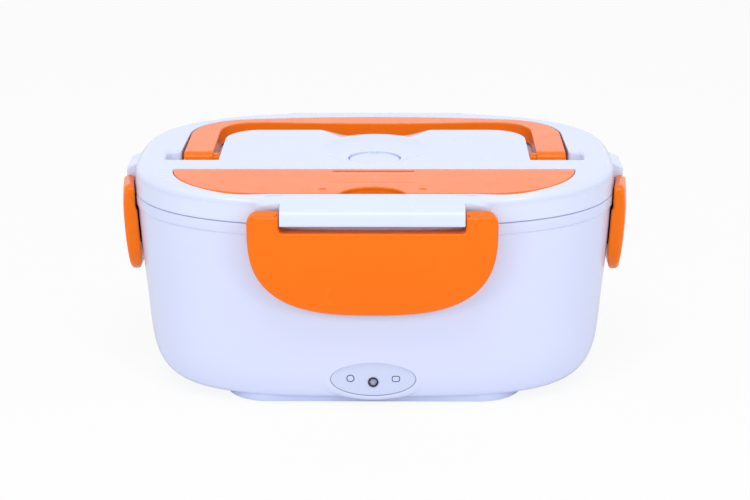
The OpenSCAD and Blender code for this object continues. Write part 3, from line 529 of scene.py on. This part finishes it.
def cover_front(g, notch=0.0, end=-12.0):
    """The cover's outline from its left end round the front to its right end, grown by g."""
    side = arc((50.5, -28), 41 + g, -90, end, 2)
    tilt = math.degrees(math.asin((-69 - NOTCH_Y - g) / notch)) if notch else 0
    return mirrored(side) + (arc((0, NOTCH_Y), notch, 180 - tilt, tilt, 4) if notch else []) + side

def cover_loop(g, notch=0.0, tip_r=3.0):
    """The whole outline: the front with two tips and a straight hinge edge."""
    tip = arc((91.2 - tip_r, -29.7 - tip_r), tip_r + g, -6.6 if tip_r > 2 else 0, 90, 10)
    return soften(cover_front(g, notch, -7.3) + tip + mirrored(tip), 0.6, 0.4)

spoon_room = cover_loop(0.3, tip_r=1.2)
print("channel", len(channel), "points; spoon room", len(spoon_room), "points")

# %% [markdown]
# A pocket is sunk into a surface in rings: a rounded rim, a wall that leans as a mould needs it to, and
# a fillet. A boolean would cut the same hole but leave a knife edge. The rim is returned, so that the
# surface round it can be filled afterwards. Way is -1 for a pocket cut upwards from below.

# %% Pockets
def pocket(skin, loop, surface, floor, edge, root, way=1, lean=0.02, spots=None):
    level = surface(loop[:, 0], loop[:, 1])
    bottom = floor(loop[:, 0], loop[:, 1]) if callable(floor) else np.full(len(loop), float(floor))
    rings = [skin.ring(grow(loop, out * edge), lambda u, v: surface(u, v) - way * drop * edge)
             for out, drop in reversed(rounded(1.0))]
    slope = lean * (np.abs(level - bottom) - edge)
    rings += [skin.ring(grow(loop, -out * root - slope), bottom + way * drop * root)
              for out, drop in rounded(1.0, 4)]
    bands(skin, rings)
    skin.fill(rings[-1], w=floor, spots=spots)
    return rings[0]

# %% [markdown]
# The lid's skin starts at its lower edge, climbs the side in rings and is closed by the top sheet.
# A sheet between rims alone would have long thin faces that bend the light, so loose points in it carry
# the finger scoop at the back of the island and the first of the rounding.

# %% Lid skin
lid = Skin()
side = [lid.ring(superellipse(RIM_A - inset, RIM_B - inset, RIM_N), z)
        for z, inset in ((89.9, 2.4), (LID_EDGE, 2.2), (LID_EDGE, 0.25), (87.72, 0.03))]
for z in np.linspace(88.6, LID_ARC, 6):
    side.append(lid.ring(superellipse(*lid_size(z)), z))
for turn in range(6, SHEET_TURN + 1, 6):
    z = LID_ARC + ROUND * math.sin(math.radians(turn))
    side.append(lid.ring(superellipse(*lid_size(z)), z))
bands(lid, side)
lid.fill(side[0])

# The wells' rims are rounder and their walls lean more than the rest of the channel.
POCKET_FLOOR = 91.0
well = soft_step(np.abs(channel[:, 0]), 90.5, 93.5) * np.clip((channel[:, 1] + 14) / 6, 0, 1)
holes = [pocket(lid, channel, lid_top, POCKET_FLOOR, 0.45 + 1.5 * well, 0.8, lean=0.02 + 0.12 * well),
         pocket(lid, spoon_room, lid_top, POCKET_FLOOR, 0.45, 0.8)]
print("lid side:", len(side), "rings")

# %% [markdown]
# On the real lid a shallow round dish lets a fingernail reach the vent plug. It could be pressed in by
# sculpting, but a formula of the distance from its middle keeps it round: a soft step and a hollow.

# %% The dish round the vent, and the top sheet
VENT, DISH, DISH_R = np.array([0, -6.5]), np.array([0, 5]), 25.5

def dish(u, v):
    r = np.sqrt(u ** 2 + (v - DISH[1]) ** 2) / DISH_R
    return LID_TOP - 0.9 * soft_step(1 - r, 0, 0.16) - 0.7 * np.clip(1 - r * r, 0, 1)

dish_rim = [lid.ring(superellipse(DISH_R + g, DISH_R + g, 2, 160) + DISH, LID_TOP - d)
            for g, d in ((0.4, 0.0), (0.0, 0.01), (-0.4, 0.05), (-0.8, 0.12))]
bands(lid, dish_rim)
vent_rim = pocket(lid, superellipse(12.4, 12.4, 2, 120) + VENT, dish, 96.4, 0.35, 0.3)
lid.fill(dish_rim[-1], [vent_rim], dish, spots_in((-25, -20), (25, 30), (2, 2)))

loose = [superellipse(FLAT_A + g, FLAT_B + g, FLAT_N) for g in (-0.4, 0.0, 0.5, 1.0, 1.5, 2.0)]
loose.append(spots_in((-34, 19), (34.5, 38.6), (0.9, 0.8)))
lid.fill(side[-1], holes + [dish_rim[0]], lid_top, np.vstack(loose), 0.3)
print("lid before its lugs:", len(lid.faces), "faces")

# %% [markdown]
# Four lugs stand out of the lid between the ears of the latches. The top of each slopes down at
# 25 degrees and rounds over the pivot. The front and back ones leave the lid in a long bend, so that the
# two read as one moulding. Each is a section drawn along its latch, which keeps its slope true all the way.

# %% Lugs
LUG_SLOPE, ON_LID = 25, 99.98

def lug(crown, radius, half, low, root, bend, place):
    """Crown is the middle of the rounding at the lug's outer edge, and bend the radius where it starts."""
    s, c = math.sin(math.radians(LUG_SLOPE)), math.cos(math.radians(LUG_SLOPE))
    touch = (crown[0] + radius * s, crown[1] + radius * c)
    if bend:
        start = touch[0] - (ON_LID - touch[1]) * c / s - bend * math.tan(math.radians(LUG_SLOPE / 2))
        over = arc((start, ON_LID - bend), bend, 90 - LUG_SLOPE, 90, 4)
    else:
        over = [(root - 3, touch[1] + (touch[0] - root + 3) * s / c)]
    front_low = arc((crown[0] + radius - 0.8, low + 0.8), 0.8, -90, 0, 15)
    section = soften([(root, low)] + front_low + arc(crown, radius, 0, 90 - LUG_SLOPE, 10) + over
        + [(over[-1][0], low + 1.2), (root, low + 1.2)], 0.4, 0.2)
    bar = Skin(lambda across, up, along: place(along, up, across))
    ends = [(half, 0.5), (half - 0.15, 0.2), (half - 0.5, 0.0)]
    rings = [bar.ring(grow(section, -inset), along)
             for along, inset in [(-a, i) for a, i in ends] + ends[::-1]]
    bands(bar, rings)
    bar.fill(rings[0])
    bar.fill(rings[-1])
    if bend:
        fade(bar, half, over, touch)
    return bar

FADE_Y, FADE_Z, LID_HALF = 76.9, 92.0, 111.4

def fade(bar, half, over, touch):
    """Past the end of a lug its slope sinks little by little into the rounding of the lid."""
    slope = math.tan(math.radians(LUG_SLOPE))
    reach = list(np.linspace(FADE_Y, over[0][0], 8)[:-1])
    upper = np.array([(FADE_Y, FADE_Z)] + [(y, touch[1] + (touch[0] - y) * slope - 0.03) for y in reach]
        + [(y, z - 0.03) for y, z in over])
    turns = np.radians(np.linspace(-8, 55, len(upper) - 1))
    heights = np.concatenate([[FADE_Z], LID_ARC + ROUND * np.sin(turns)])
    for way in (-1, 1):
        rings = []
        for along in np.linspace(half - 2, half + 14, 17):
            sunk = soft_step(along, half, half + 13.5)
            shrink = (1 - (along / LID_HALF) ** RIM_N) ** (1 / RIM_N)
            depths = [lid_size(min(z, 99.99))[1] * shrink - 0.3 for z in heights]
            lid_side = np.column_stack([depths, heights - 0.1])
            loop = (1 - sunk) * upper + sunk * lid_side
            rings.append(bar.ring(np.vstack([loop, [(loop[-1][0], FADE_Z)]]), way * along))
        bands(bar, rings)
        bar.fill(rings[0])
        bar.fill(rings[-1])

# %% Set the lugs and make the lid
for place in (front, back):
    lid.add(lug((79.2, 91.89), 4.5, 40.2, 89.1, 74.7, 6.5, place))
for place in (right, left):
    lid.add(lug((114.6, 94.0), 1.2, 10.2, 87.7, 110.0, 0, place))
make("lid_top_shell", lid, "lid", ["lid_shell"], lid_pp_painted_lighter)

# %% [markdown]
# ## Orange pieces
# Latches, handle and spoon cover are plates with soft edges: an outline, a front surface and a back
# surface. Thickening and bevelling a sheet would give one thickness, and these need two surfaces of their
# own. The edge rounding shrinks where the plate runs thin, as it does at a latch's ears.

# %% Plates
def plate(loop, top, low, edge, low_edge, place=upright, spots=None, sunk=(), cored=()):
    """Sunk pockets go down from the top surface, and cored ones up from the low one."""
    skin = Skin(place)
    def ease(u, v, drop, radius):
        return np.minimum(drop, 0.46 * np.maximum(top(u, v) - low(u, v), 0.02) * drop / radius)
    rings = [skin.ring(grow(loop, -out), lambda u, v: low(u, v) + ease(u, v, drop, low_edge))
             for out, drop in reversed(rounded(low_edge, 4))]
    rings += [skin.ring(grow(loop, -out), lambda u, v: top(u, v) - ease(u, v, drop, edge))
              for out, drop in rounded(edge, 7)]
    bands(skin, rings)
    over = [pocket(skin, hole, top, floor, rim, root) for hole, floor, rim, root in sunk]
    under = [pocket(skin, hole, low, floor, rim, root, way=-1, spots=spots)
             for hole, floor, rim, root in cored]
    skin.fill(rings[-1], over, top, spots)
    skin.fill(rings[0], under, low, spots)
    return skin

# %% [markdown]
# A latch is a bellied bowl: upright where it covers the rim and curling in towards its lower edge. Its
# two ears stand past the lug and turn on it. The ears of the end latches are round about the pivot, and
# those of the front and back ones have a sloped top, nearly in line with the slope of the lug. Both
# surfaces are formulas of height and width, so that one function and two sets of numbers give all four.

# %% Latch shapes
LATCH_N, BELLY, BELLY_Z = 2.8, 3.4, 84
LEAN_Z, LEAN_H = 78, 16
EAR_R, SLOT_R = 5, 1.8

def power(x):
    return np.sign(x) * np.abs(x) ** (2 / LATCH_N)

def latch_loop(half, low, ear_in, ear_top, slot):
    """A bowl with an ear at each end, and a slot between the ears for the lug."""
    middle = low + 0.75 * half
    t = np.radians(np.arange(180, 361, 3))
    bowl = [(half * power(math.cos(v)), middle + (middle - low) * power(math.sin(v))) for v in t]
    ear = arc((half - EAR_R, ear_top - EAR_R), EAR_R, 0, 90, 6) + [(ear_in, ear_top)]
    ear += arc((ear_in - SLOT_R, slot + SLOT_R), SLOT_R, 0, -90, 15)
    return soften(bowl + ear + mirrored(ear), 0.8, 0.35)

def sag(radius, u):
    """How far an arc of this radius falls away from its tangent."""
    return radius - np.sqrt(radius ** 2 - u ** 2)

def beside_wall(u, v):
    """The inner face of a side latch follows the wall of the base and leaves it near the lower end."""
    a, b, n = base_size(v)
    wall = a * (1 - (np.abs(u) / b) ** n) ** (1 / n)
    return wall + 0.35 + 2.2 * (np.clip(60 - v, 0, None) / 14) ** 2

print("an end latch falls back", round(float(sag(142, 30)), 1), "mm at its ends")

# %% A latch
def latch(name, place, half, low_z, ear_in, slot, face, lean, face_curve, pivot, ear_r, reach, rim_curve):
    """Half to slot give the outline, face to face curve the front, and reach and rim curve the back."""
    long = half > 40
    ear_x = pivot[0] + sag(face_curve, ear_in)
    def round_to(out, v, n=2.0):
        return ear_x + out * (1 - np.clip((v - pivot[1]) / ear_r, 0, 1) ** n) ** (1 / n)
    def top(u, v):
        back_set = BELLY * (np.clip(BELLY_Z - v, 0, None) / (BELLY_Z - low_z)) ** 2.5 \
            + lean * (np.clip(np.minimum(v, pivot[1]) - LEAN_Z, 0, None) / LEAN_H) ** 2
        ear_face = face - lean * ((pivot[1] - LEAN_Z) / LEAN_H) ** 2
        if long:
            past = v - pivot[1] - 0.1
            return face - back_set - 1.35 * (past + np.sqrt(past ** 2 + 0.04)) - sag(face_curve, u)
        ear_round = round_to(ear_face - ear_x, v, 2.4)
        return np.where(v > pivot[1], ear_round, face - back_set) - sag(face_curve, u)
    def low(u, v):
        ear = (ear_x - ear_r if long else round_to(-ear_r, v)) - sag(face_curve, u)
        blend = np.clip(v - pivot[1] + 3.7, 0, 1)
        rim = reach - sag(rim_curve, u)
        if not long:
            rim -= np.clip((81.2 - v) / 1.5, 0, 1) * np.maximum(rim - beside_wall(u, v), 0)
        return np.minimum(rim + blend * np.maximum(ear - rim, 0), top(u, v) - 0.02)
    ear_top = pivot[1] + ear_r - (0.8 if long else 0.0)
    loop = latch_loop(half, low_z, ear_in, ear_top, slot)
    rows = np.vstack([spots_in((-half, low_z), (half, ear_top - 4.7), (2.2, 2.2)),
                      spots_in((-half, ear_top - 4.2), (half, ear_top), (1.2, 0.3))])
    core_low = low_z + 10
    t = np.radians(np.arange(180, 361, 6))
    core = soften([((half - 4) * math.cos(v), 76 + (76 - core_low) * math.sin(v)) for v in t], 0.9, 0.6)
    skin = plate(loop, top, low, 1.5, 0.4 if long else 1.2, place, rows,
                 cored=[(core, lambda u, v: np.maximum(top(u, v) - 2.5, low(u, v) + 0.3), 0.25, 0.25)])
    make(name, skin, name, [name], orange_abs)

# %% The four latches
LONG_LATCH = dict(half=54.5, low_z=47.0, ear_in=40.5, slot=86.1, face=84.0, lean=0.0, face_curve=2500,
                  pivot=(81.1, 93.1), ear_r=2.7, reach=77.45, rim_curve=500)
END_LATCH = dict(half=30.0, low_z=45.8, ear_in=10.5, slot=85.0, face=118.2, lean=1.5, face_curve=142,
                 pivot=(114.0, 89.5), ear_r=2.0, reach=112.55, rim_curve=150)
for name, place in (("front_latch", front), ("back_latch", back)):
    latch(name, place, **LONG_LATCH)
for name, place in (("left_latch", left), ("right_latch", right)):
    latch(name, place, **END_LATCH)

# %% [markdown]
# The handle is one U-shaped plate: two arms and a grip whose back is crowned like the lid's own edge.
# In front of the pivot the arms end in half rounds, and the grip is cored from below between ribs, as
# a moulded bar has to be, or it would sink in as it cools. A swept curve would give it one section all
# round, while a plate lets its width change from the arms to the middle of the grip.

# %% Handle
PIVOT_Z, ARM_R, GRIP_LOW = 95.8, 4.2, 92.0

outer_edge = [(89.7, -4.2), (89.7, 31.5)] + arc((61.7, 31.5), 28, 0, 77)
inner_edge = [(76, -4.2), (76, 36.8)] + arc((60, 36.8), 16, 0, 90) + [(49.6, 52.8)] \
    + [(x, 50.6 + x * x / 1120) for x in range(48, 0, -3)]
handle_loop = soften(outer_edge + arc((0, -381), 445, 81.2, 98.8, 0.4) + mirrored(outer_edge)
    + [(-u, v) for u, v in inner_edge] + [(0, 50.6)] + inner_edge[::-1], 0.6, 0.3)

def round_end(v):
    return ARM_R * np.sqrt(np.clip(1 - (np.minimum(v, 0) / ARM_R) ** 2, 0, 1))

def handle_top(u, v):
    return PIVOT_Z + round_end(v)

def handle_low(u, v):
    under = PIVOT_Z - np.sqrt(np.clip(ARM_R ** 2 - v ** 2, 0, None))
    return np.where(v < 0, PIVOT_Z - round_end(v), np.minimum(GRIP_LOW, under))

# %% Make the handle with its cores and stubs
arm_rows = -ARM_R * np.cos(np.radians(np.arange(9, 91, 9)))
spots = np.vstack([np.column_stack([side * np.repeat(np.arange(77.5, 88.6, 1.5), len(arm_rows)),
                                    np.tile(arm_rows, 8)]) for side in (-1, 1)])
cores = [(rounded_plate(4.3, 2.3, 0.8, x, 56.5), 97.0, 0.3, 0.3) for x in range(-44, 45, 11)]
handle = plate(handle_loop, handle_top, handle_low, 0.7, 0.6, spots=spots, cored=cores)
for place in (right, right_in_a_mirror):
    handle.add(turned([(1.7, 69.7), (2.0, 70.0), (2.0, 72.8), (2.9, 72.8), (3.2, 73.1), (3.2, 77.2)],
                      place, (0, PIVOT_Z)))
make("folding_handle", handle, "handle", ["handle"], orange_abs)

# %% [markdown]
# The spoon cover is a thin D with a round barrel along its straight edge, where it hinges. A skirt
# below stiffens it, and a half-moon at the front lets a fingertip under it. It is a plate like the
# latches. Its skirt is a separate closed skin that runs into it, so the plate's fill stays simple.

# %% Spoon cover
BARREL_Y, BARREL_Z, BARREL_R, NOTCH = -31.7, 98.0, 2, 16.0
GROOVE, GROOVE_W = 0.15, 0.8

def cover_top(u, v):
    """Flat, and round over the barrel. Of a shallow groove round a rectangle the mesh is fine enough to
    keep the front side, and the back side only where it meets the relief along the hinge."""
    mark = np.clip(np.minimum(20 - np.abs(u), 9.2 - np.abs(v + 44)), 0, GROOVE_W) / GROOVE_W
    behind = np.clip(v - BARREL_Y, 0, BARREL_R)
    return BARREL_Z + np.sqrt(BARREL_R ** 2 - behind ** 2) + GROOVE * mark - GROOVE * (mark > 0)

def cover_low(u, v):
    return BARREL_Z - np.sqrt(np.clip(BARREL_R ** 2 - (v - BARREL_Y) ** 2, 0, None))

cover_edge = cover_loop(0, NOTCH)
barrel_rows = BARREL_Y + BARREL_R * np.cos(np.radians(np.arange(10, 171, 20)))
rows = np.vstack([np.column_stack([np.tile(np.arange(-90, 90.1, 3), 9), np.repeat(barrel_rows, 61)]),
                  spots_in((-24, -56), (24.5, -37), (1.0, 1.0))])
sunk = [(rounded_plate(18.5, 0.8, 0.7, 0, -33.9), 99.4, 0.2, 0.2)]
sunk += [(superellipse(1.6, 1.6, 2, 32) + np.array([x, -62.5]), 99.7, 0.15, 0.15) for x in (-22, 22)]
cover = plate(cover_edge, cover_top, cover_low, 0.7, 0.15, spots=rows, sunk=sunk)

# %% Skirt and stubs of the spoon cover
skirt_loop = np.array(cover_front(-0.4, NOTCH) + cover_front(-2.0, NOTCH + 1.6)[::-1])
skirt = Skin()
skirt_rings = [skirt.ring(evenly(skirt_loop, 900), z) for z in (98.3, 94.5)]
bands(skirt, skirt_rings)
for ring in skirt_rings:
    skirt.fill(ring)
cover.add(skirt)
for place in (right, right_in_a_mirror):
    cover.add(turned([(1.0, 80), (1.0, 92.6), (0.8, 92.9)], place, (BARREL_Y, BARREL_Z), 24))
make("spoon_door", cover, "cover", ["spoon_cover"], orange_abs)

# %% [markdown]
# ## Small pieces on the lid and the lamp
# The vent plug is a round moulding with a soft rim, a dished top and a bite at the back for a
# fingernail. Everything but the bite is round, so its section is turned and the bite is cut afterwards.

# %% Vent plug
stem = [(3.5, 84.0), (4.1, 84.8), (4.1, 96.7), (11.6, 96.7), (11.9, 97.0), (11.9, 97.4), (11.75, 97.7),
        (11.4, 97.85), (10.9, 97.85), (10.0, 97.7), (8.6, 97.5), (6.5, 97.35), (4.0, 97.3), (1.5, 97.3)]
plug = turned(stem, upright, VENT, 120)
cap = make("vent_cap", plug, "vent", ["vent_plug"], lid_pp_painted_lighter)
bite = turned([(3.2, 97.4), (3.2, 97.6), (3.4, 100.5), (3.4, 100.6)], upright, (0, 6.5), 48)
combine(cap, bite, "DIFFERENCE")
cap.data.set_sharp_from_angle(angle=SHARP)
print("vent cap after the bite:", len(cap.data.polygons), "faces")

# %% [markdown]
# A thin grey line is painted round the lamp's panel, in the gap at its recessed edge, as the shade that
# falls there. The panel also has two plain printed marks, a ring and a rounded square. A texture could print
# them, but a thin raised line stays sharp at any distance.

# %% Painted edge shade and marks
def line_round(skin, loop, width, low, high):
    """A flat line with soft shoulders that follows a closed loop."""
    edges = [(-width / 2, low), (-width / 2, high - 0.03), (-width / 2 + 0.05, high),
             (width / 2 - 0.05, high), (width / 2, high - 0.03), (width / 2, low)]
    rings = [skin.ring(grow(loop, out), w) for out, w in edges]
    bands(skin, rings + rings[:1])

# Painted shade: a dull grey line in the gap round the panel stands for the shadow at its recessed edge. Its
# waves are drawn coarse, or they wouldn't show.
panel_edge_shade = finish("painted_edge_shade", "#8E95AC", "#868DA5", 0.5, 0.04, 1.5, 0.005, 1.5)
# Printing ink dries to an even, nearly black film with a satin face.
ink = finish("printing_ink", "#2A2E3C", "#262A38", 0.5, 0.04, 1.0, 0.002, 1.5)
edge_shade_line = Skin(front)
line_round(edge_shade_line, ellipse(19.15, 7.95, 200) + LAMP, 0.3, 72.6, 73.13)
make("panel_edge_shade_line", edge_shade_line, "base", material=panel_edge_shade)
marks = Skin(front)
ring_mark = superellipse(1.6, 1.6, 2, 64) + np.array([-10.2, 14.6])
square_mark = soften(superellipse(1.65, 1.3, 4, 64) + np.array([10.2, 14.4]), 0.2, 0.1)
line_round(marks, ring_mark, 0.42, 72.8, 73.04)
line_round(marks, square_mark, 0.38, 72.8, 73.04)
make("panel_marks", marks, "base", material=ink)

# %% [markdown]
# ## What the frame carries over
# The other pieces are hidden or plain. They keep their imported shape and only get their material. Each
# starts from the real one's usual numbers, and metals keep the default index of refraction.

# %% Materials of the carried pieces
# Pressed aluminium: satin from the tool, with a broad pale shine.
aluminium = finish("pressed_aluminium", "#C9CCD1", "#BFC2C8", 0.34, 0.06, 1.2, 0.01, 1.5, Metallic=1.0)
# Zinc plating: greyer and a little sharper, cloudy from place to place.
zinc_steel = finish("zinc_plated_steel", "#B7BAC0", "#A9ACB3", 0.3, 0.07, 0.8, 0.01, 1.5, Metallic=1.0)
# Brass with a flash of nickel: a pale, warm shine.
brass = finish("nickel_flashed_brass", "#D9C27A", "#CDB56C", 0.28, 0.06, 0.8, 0.01, 1.5, Metallic=1.0)
# Fired ceramic with metallised faces: dull and grainy grey.
ceramic = finish("metallised_ceramic", "#857F7A", "#77726E", 0.6, 0.08, 0.6, 0.02, 1.6)
# Moulded phenolic: nearly black, with a slightly open, satin face.
phenolic = finish("moulded_phenolic", "#2A2A2C", "#222224", 0.42, 0.06, 1.0, 0.02, 1.6)
# A drawn brass can, thinly tinned: yellow metal with a bright but uneven shine.
tinned_can = finish("tinned_can", "#D9B059", "#CBA24C", 0.3, 0.06, 0.8, 0.01, 1.5, Metallic=1.0)
# Extruded silicone: brick red, soft and without a sharp shine.
insulation = finish("silicone_insulation", "#B84033", "#A9382C", 0.5, 0.05, 1.0, 0.02, 1.41)
# Moulded polycarbonate: a pale blue satin that sets the panel off from the shell.
panel_film = finish("polycarbonate_panel", "#CFD9F6", "#CCD6F5", 0.3, 0.03, 4.0, 0.002, 1.58)
# The same plastic in gloss black: dark, with crisp highlights.
black_pc = finish("black_polycarbonate", "#15171C", "#101216", 0.18, 0.05, 1.5, 0.01, 1.58)
# And clear: light passes through, with a bright edge.
clear_pc = finish("clear_polycarbonate", "#E6EEFF", "#DCE6FC", 0.1, 0.04, 1.0, 0.01, 1.58,
                   Transmission_Weight=0.85)
# Cast epoxy: tinted a pale peach, smooth as glass.
led_epoxy = finish("tinted_epoxy", "#FFD0B0", "#FBC4A0", 0.2, 0.05, 0.8, 0.01, 1.54)
# Glass-epoxy laminate: green, with the faint grain of its cloth drawn coarse enough to show.
laminate = finish("glass_epoxy_laminate", "#3F8A4F", "#367C46", 0.45, 0.06, 0.5, 0.01, 1.55)
# Moulded silicone rubber, satin and a little paler than the hard orange plastic.
orange_silicone = finish("orange_silicone", "#FF8427", "#FA7E22", 0.45, 0.05, 2.0, 0.02, 1.41)

# %% Dress the carried pieces
dress = {
    "inner_liner": white_pp, "bottom_cover": white_pp, "inlet_socket": white_pp, "lid_liner": lid_pp_painted_lighter,
    "vent_plug": lid_pp_painted_lighter, "lid_seal": silicone, "plate_seal": silicone, "lamp_leads": silicone,
    "food_tray": natural_pp, "side_cup": natural_pp, "spoon": orange_abs, "inlet_flap": orange_silicone,
    "heating_plate": aluminium, "bottom_screws": zinc_steel, "clamp_screws": zinc_steel,
    "heater_clamp": zinc_steel, "inlet_pins": brass, "ptc_heaters": ceramic, "thermostat": phenolic,
    "thermal_fuse": tinned_can, "heater_leads": insulation, "lamp_panel": panel_film,
    "lamp_bezel": black_pc, "lamp_lens": clear_pc, "lamp_led": led_epoxy, "lamp_board": laminate,
}
for name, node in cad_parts.items():
    material = dress.get(name, white_pp if name in ("outer_shell", "lid_shell") else orange_abs)
    for object_slot in node.material_slots:
        object_slot.link = "OBJECT"
        object_slot.material = material
print("carried over:", len(dress), "pieces")

# %% [markdown]
# ## Table, light and finish
# The table and the surroundings are plain and pale. The camera sees the world as white, and glossy
# faces see it dimmer towards the camera's side, which gives them form. Matte faces get a share of it.
# Brighter lamps would whiten the picture too, but they would also bleach the colours.

# %% World
SOFT_LIGHT = 0.65

world = bpy.data.worlds.new("studio")
bpy.context.scene.world = world
world.use_nodes = True
tree = world.node_tree
tree.nodes.clear()
path = add_node(tree, "ShaderNodeLightPath")
where = add_node(tree, "ShaderNodeTexCoord").outputs["Generated"]
from_front = add_node(tree, "ShaderNodeSeparateXYZ", {"Vector": where}).outputs["Y"]
mirrored_room = add_node(tree, "ShaderNodeMapRange", {"Value": from_front, "From Min": -0.9,
    "From Max": -0.2, "To Min": 0.35, "To Max": 1.2}).outputs["Result"]
straight = add_node(tree, "ShaderNodeMath", {0: path.outputs["Is Camera Ray"],
    1: path.outputs["Is Transmission Ray"]}, operation="MAXIMUM").outputs[0]
shiny = add_node(tree, "ShaderNodeMath", {0: path.outputs["Is Glossy Ray"], 1: mirrored_room},
                 operation="MULTIPLY").outputs[0]
seen = add_node(tree, "ShaderNodeMath", {0: straight, 1: shiny}, operation="MAXIMUM").outputs[0]
soft = add_node(tree, "ShaderNodeMath", {0: path.outputs["Is Diffuse Ray"], 1: SOFT_LIGHT},
                operation="MULTIPLY").outputs[0]
strength = add_node(tree, "ShaderNodeMath", {0: seen, 1: soft}, operation="MAXIMUM").outputs[0]
shine = add_node(tree, "ShaderNodeBackground", {"Color": (1, 1, 1, 1), "Strength": strength})
add_node(tree, "ShaderNodeOutputWorld", {"Surface": shine.outputs[0]})
print("world:", len(tree.nodes), "nodes")

# %% [markdown]
# A wide softbox overhead and one at each front corner give the glossy plastics their long highlights.
# Spot or point lamps would leave small hard glints, while a rectangle of light reads as a studio's softbox.

# %% Softboxes
def softbox(name, place, target, width, height, watts):
    light = bpy.data.objects.new(name, bpy.data.lights.new(name, "AREA"))
    light.data.shape, light.data.size, light.data.size_y = "RECTANGLE", width, height
    light.data.energy = watts
    light.location = place
    light.rotation_euler = (Vector(target) - Vector(place)).to_track_quat("-Z", "Y").to_euler()
    bpy.context.scene.collection.objects.link(light)
    print(name, "softbox:", watts, "W")

softbox("overhead", (0, -0.4, 1.05), (0, 0, 0.05), 0.6, 0.15, 2.4)
softbox("front_left", (-0.75, -1.0, 0.62), (0, 0, 0.06), 0.35, 0.5, 2.8)
softbox("front_right", (0.75, -1.0, 0.62), (0, 0, 0.06), 0.35, 0.5, 2.8)

# %% [markdown]
# The table is one large square in matte white. What the camera sees of it is mostly a plain white glow,
# so that it goes over into the white surroundings. The small matte share keeps a faint shadow.

# %% Table
TABLE_HALF, TABLE_GLOW = 6, 0.88

table = bpy.data.objects.new("table", bpy.data.meshes.new("table"))
corners = [(x * TABLE_HALF, y * TABLE_HALF, 0) for x, y in ((-1, -1), (1, -1), (1, 1), (-1, 1))]
table.data.from_pydata(corners, [], [(0, 1, 2, 3)])
bpy.context.scene.collection.objects.link(table)
white_table = bpy.data.materials.new("white_table")
white_table.use_nodes = True
tree = white_table.node_tree
tree.nodes.clear()
path = add_node(tree, "ShaderNodeLightPath")
matte = add_node(tree, "ShaderNodeBsdfDiffuse", {"Color": (0.93, 0.93, 0.93, 1)})
glow = add_node(tree, "ShaderNodeEmission", {"Color": (1, 1, 1, 1), "Strength": 1.0})
share = add_node(tree, "ShaderNodeMath", {0: path.outputs["Is Camera Ray"], 1: TABLE_GLOW},
                 operation="MULTIPLY")
both = add_node(tree, "ShaderNodeMixShader", {0: share.outputs[0], 1: matte.outputs[0], 2: glow.outputs[0]})
add_node(tree, "ShaderNodeOutputMaterial", {"Surface": both.outputs[0]})
table.data.materials.append(white_table)
table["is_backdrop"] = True
bpy.context.scene.view_settings.view_transform = "Standard"
print("table:", 2 * TABLE_HALF, "m wide")

# %% [markdown]
# ## Sizes
# The box round the imported pieces is printed beside the box round what is seen. They could be compared by
# eye, but a number shows a tenth of a millimetre.

# %% Sizes
visual_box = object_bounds()
for cad, visual in zip(cad_box, visual_box):
    print("box mm:", [round(1000 * c, 1) for c in cad], [round(1000 * c, 1) for c in visual])
